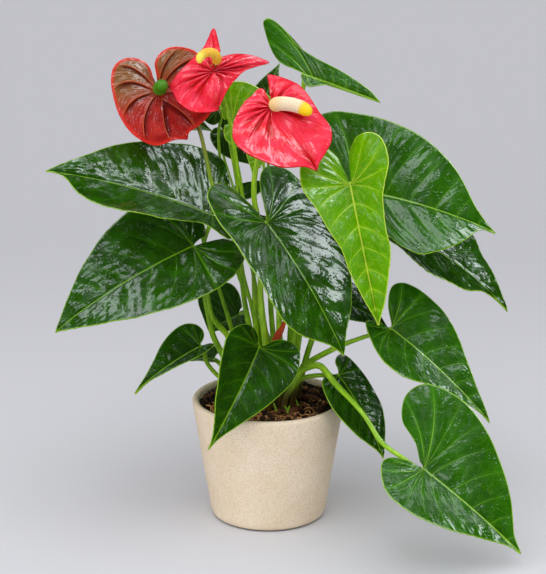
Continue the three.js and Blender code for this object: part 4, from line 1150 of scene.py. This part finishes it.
def make_bract():
    """A dry, curled scale leaf that clasps the stalk of the middle leaf."""
    line = even_curve(BRACT_ROUTE, 24)
    run = np.linspace(0, 1, len(line))
    radii = 2.7 * np.sin(math.pi * (0.06 + 0.9 * run)) ** 0.8

    def fold(angles, row):
        return 1 + 0.28 * np.cos(2 * angles + 2.2 * run[row]) + 0.1 * np.cos(5 * angles + 4 * run[row])
    sides = 18
    each = np.repeat(run, sides)
    around = around_tube(len(line), sides)
    tones = tube_tones(0.35 + 0.5 * each, 24 * each, around, [(0.35, 0, 0), (0.85, 24, 0)])
    bract = Bundle()
    bract.add(*tube(line, radii, sides, fold), tones)
    bract.piece("dry_bract", shred_material("dry_bract", rgb(132, 30, 4), rgb(226, 84, 24), 0.5), "soil_bark")


def make_plant():
    for number, leaf in enumerate(LEAVES):
        look = leaf.get("look", "dark")
        slot = {"lime": "leaf_lime", "back": "leaf_back"}.get(look, "leaf_green")
        blade_piece("leaf_" + leaf["name"], leaf, LEAF_SKINS[look], slot, LEAF_THICKNESS, leaf_relief,
                    10 * number, LEAF_VEIN_SLOPE)
        stalk_piece("leaf_stalk_" + leaf["name"], leaf, LEAF_STALK, NECK_SWELL)
    for number, flower in enumerate(FLOWERS):
        name, look = flower["name"], flower["look"]
        blade_piece("spathe_" + name, flower, [SPATHE_SKINS[look]] * 2, "spathe_" + look, SPATHE_THICKNESS,
                    spathe_relief, 500 + 10 * number, SPATHE_VEIN_SLOPE)
        stalk_piece("flower_stalk_" + name, flower, FLOWER_STALKS[name])
        spadix_piece("spadix_" + name, flower, SPADIX_SKINS[name])


# ---------------------------------------------------------------- studio
def make_stage():
    """A pale paper floor, with painted shade that makes it a little darker far behind the plant."""
    bpy.ops.mesh.primitive_plane_add(size=FLOOR_SIZE, location=FLOOR_PLACE)
    floor = bpy.context.object
    floor.name = "floor"
    shader = Shader("floor_paper", Specular_IOR_Level=0.0, Roughness=0.75)
    where = shader.node("ShaderNodeTexCoord", output="Object")
    near = shader.blend(shader.noise(where, 0.7), rgb(211, 211, 216), rgb(214, 214, 219))
    # painted shade: the floor's colour darkens from about one metre behind the plant, where the light falls
    # off
    shader.colour(shader.blend(shader.fade(shader.split(where)[1], -4.2, -3.05), near, rgb(184, 184, 189)))
    floor.data.materials.append(shader.material)
    floor.visible_glossy = False


def add_sky_light(name, azimuth, height, width, brightness, shining):
    """A soft light far away.  A shining one only makes sheens, any other only lights the surfaces."""
    lamp = bpy.data.lights.new("light_" + name, "SUN")
    lamp.angle = math.radians(width)
    lamp.energy = brightness * 2 * math.pi * (1 - math.cos(lamp.angle / 2))
    light = bpy.data.objects.new("light_" + name, lamp)
    across, up = math.radians(azimuth), math.radians(height)
    towards = Vector((math.cos(up) * math.cos(across), math.cos(up) * math.sin(across), math.sin(up)))
    light.rotation_euler = towards.to_track_quat("Z", "Y").to_euler()
    if shining:
        lamp.color = SHEEN_COLOUR
    light.visible_glossy = shining
    light.visible_diffuse = not shining
    bpy.context.scene.collection.objects.link(light)


def make_lights():
    """Two wide soft boxes that leave no glint, and the smaller ones that shine on the leaves."""
    for boxes, shining in ((SOFT_BOXES, False), (SHINING_BOXES, True)):
        for box in boxes:
            add_sky_light(*box, shining)
    world = bpy.data.worlds.new("studio")
    bpy.context.scene.world = world
    world.use_nodes = True
    background = world.node_tree.nodes["Background"]
    background.inputs["Color"].default_value = SKY_COLOUR
    background.inputs["Strength"].default_value = SKY_STRENGTH
    world.cycles_visibility.glossy = False


def make_camera():
    camera = bpy.data.cameras.new("camera")
    camera.sensor_width = SENSOR_WIDTH
    camera.lens = SENSOR_WIDTH * FOCAL_PIXELS / IMAGE_HEIGHT
    camera.clip_end = FAR_LIMIT
    eye = bpy.data.objects.new("camera", camera)
    eye.location = CAMERA_PLACE
    eye.rotation_euler = (math.radians(90 - CAMERA_PITCH), 0, 0)
    bpy.context.scene.collection.objects.link(eye)
    bpy.context.scene.camera = eye


make_camera()
make_stage()
make_lights()
make_pot()
make_soil()
make_bark()
make_roots()
make_front_chunks()
make_sprigs()
make_bract()
make_plant()

bpy.context.scene.view_settings.view_transform = "Standard"
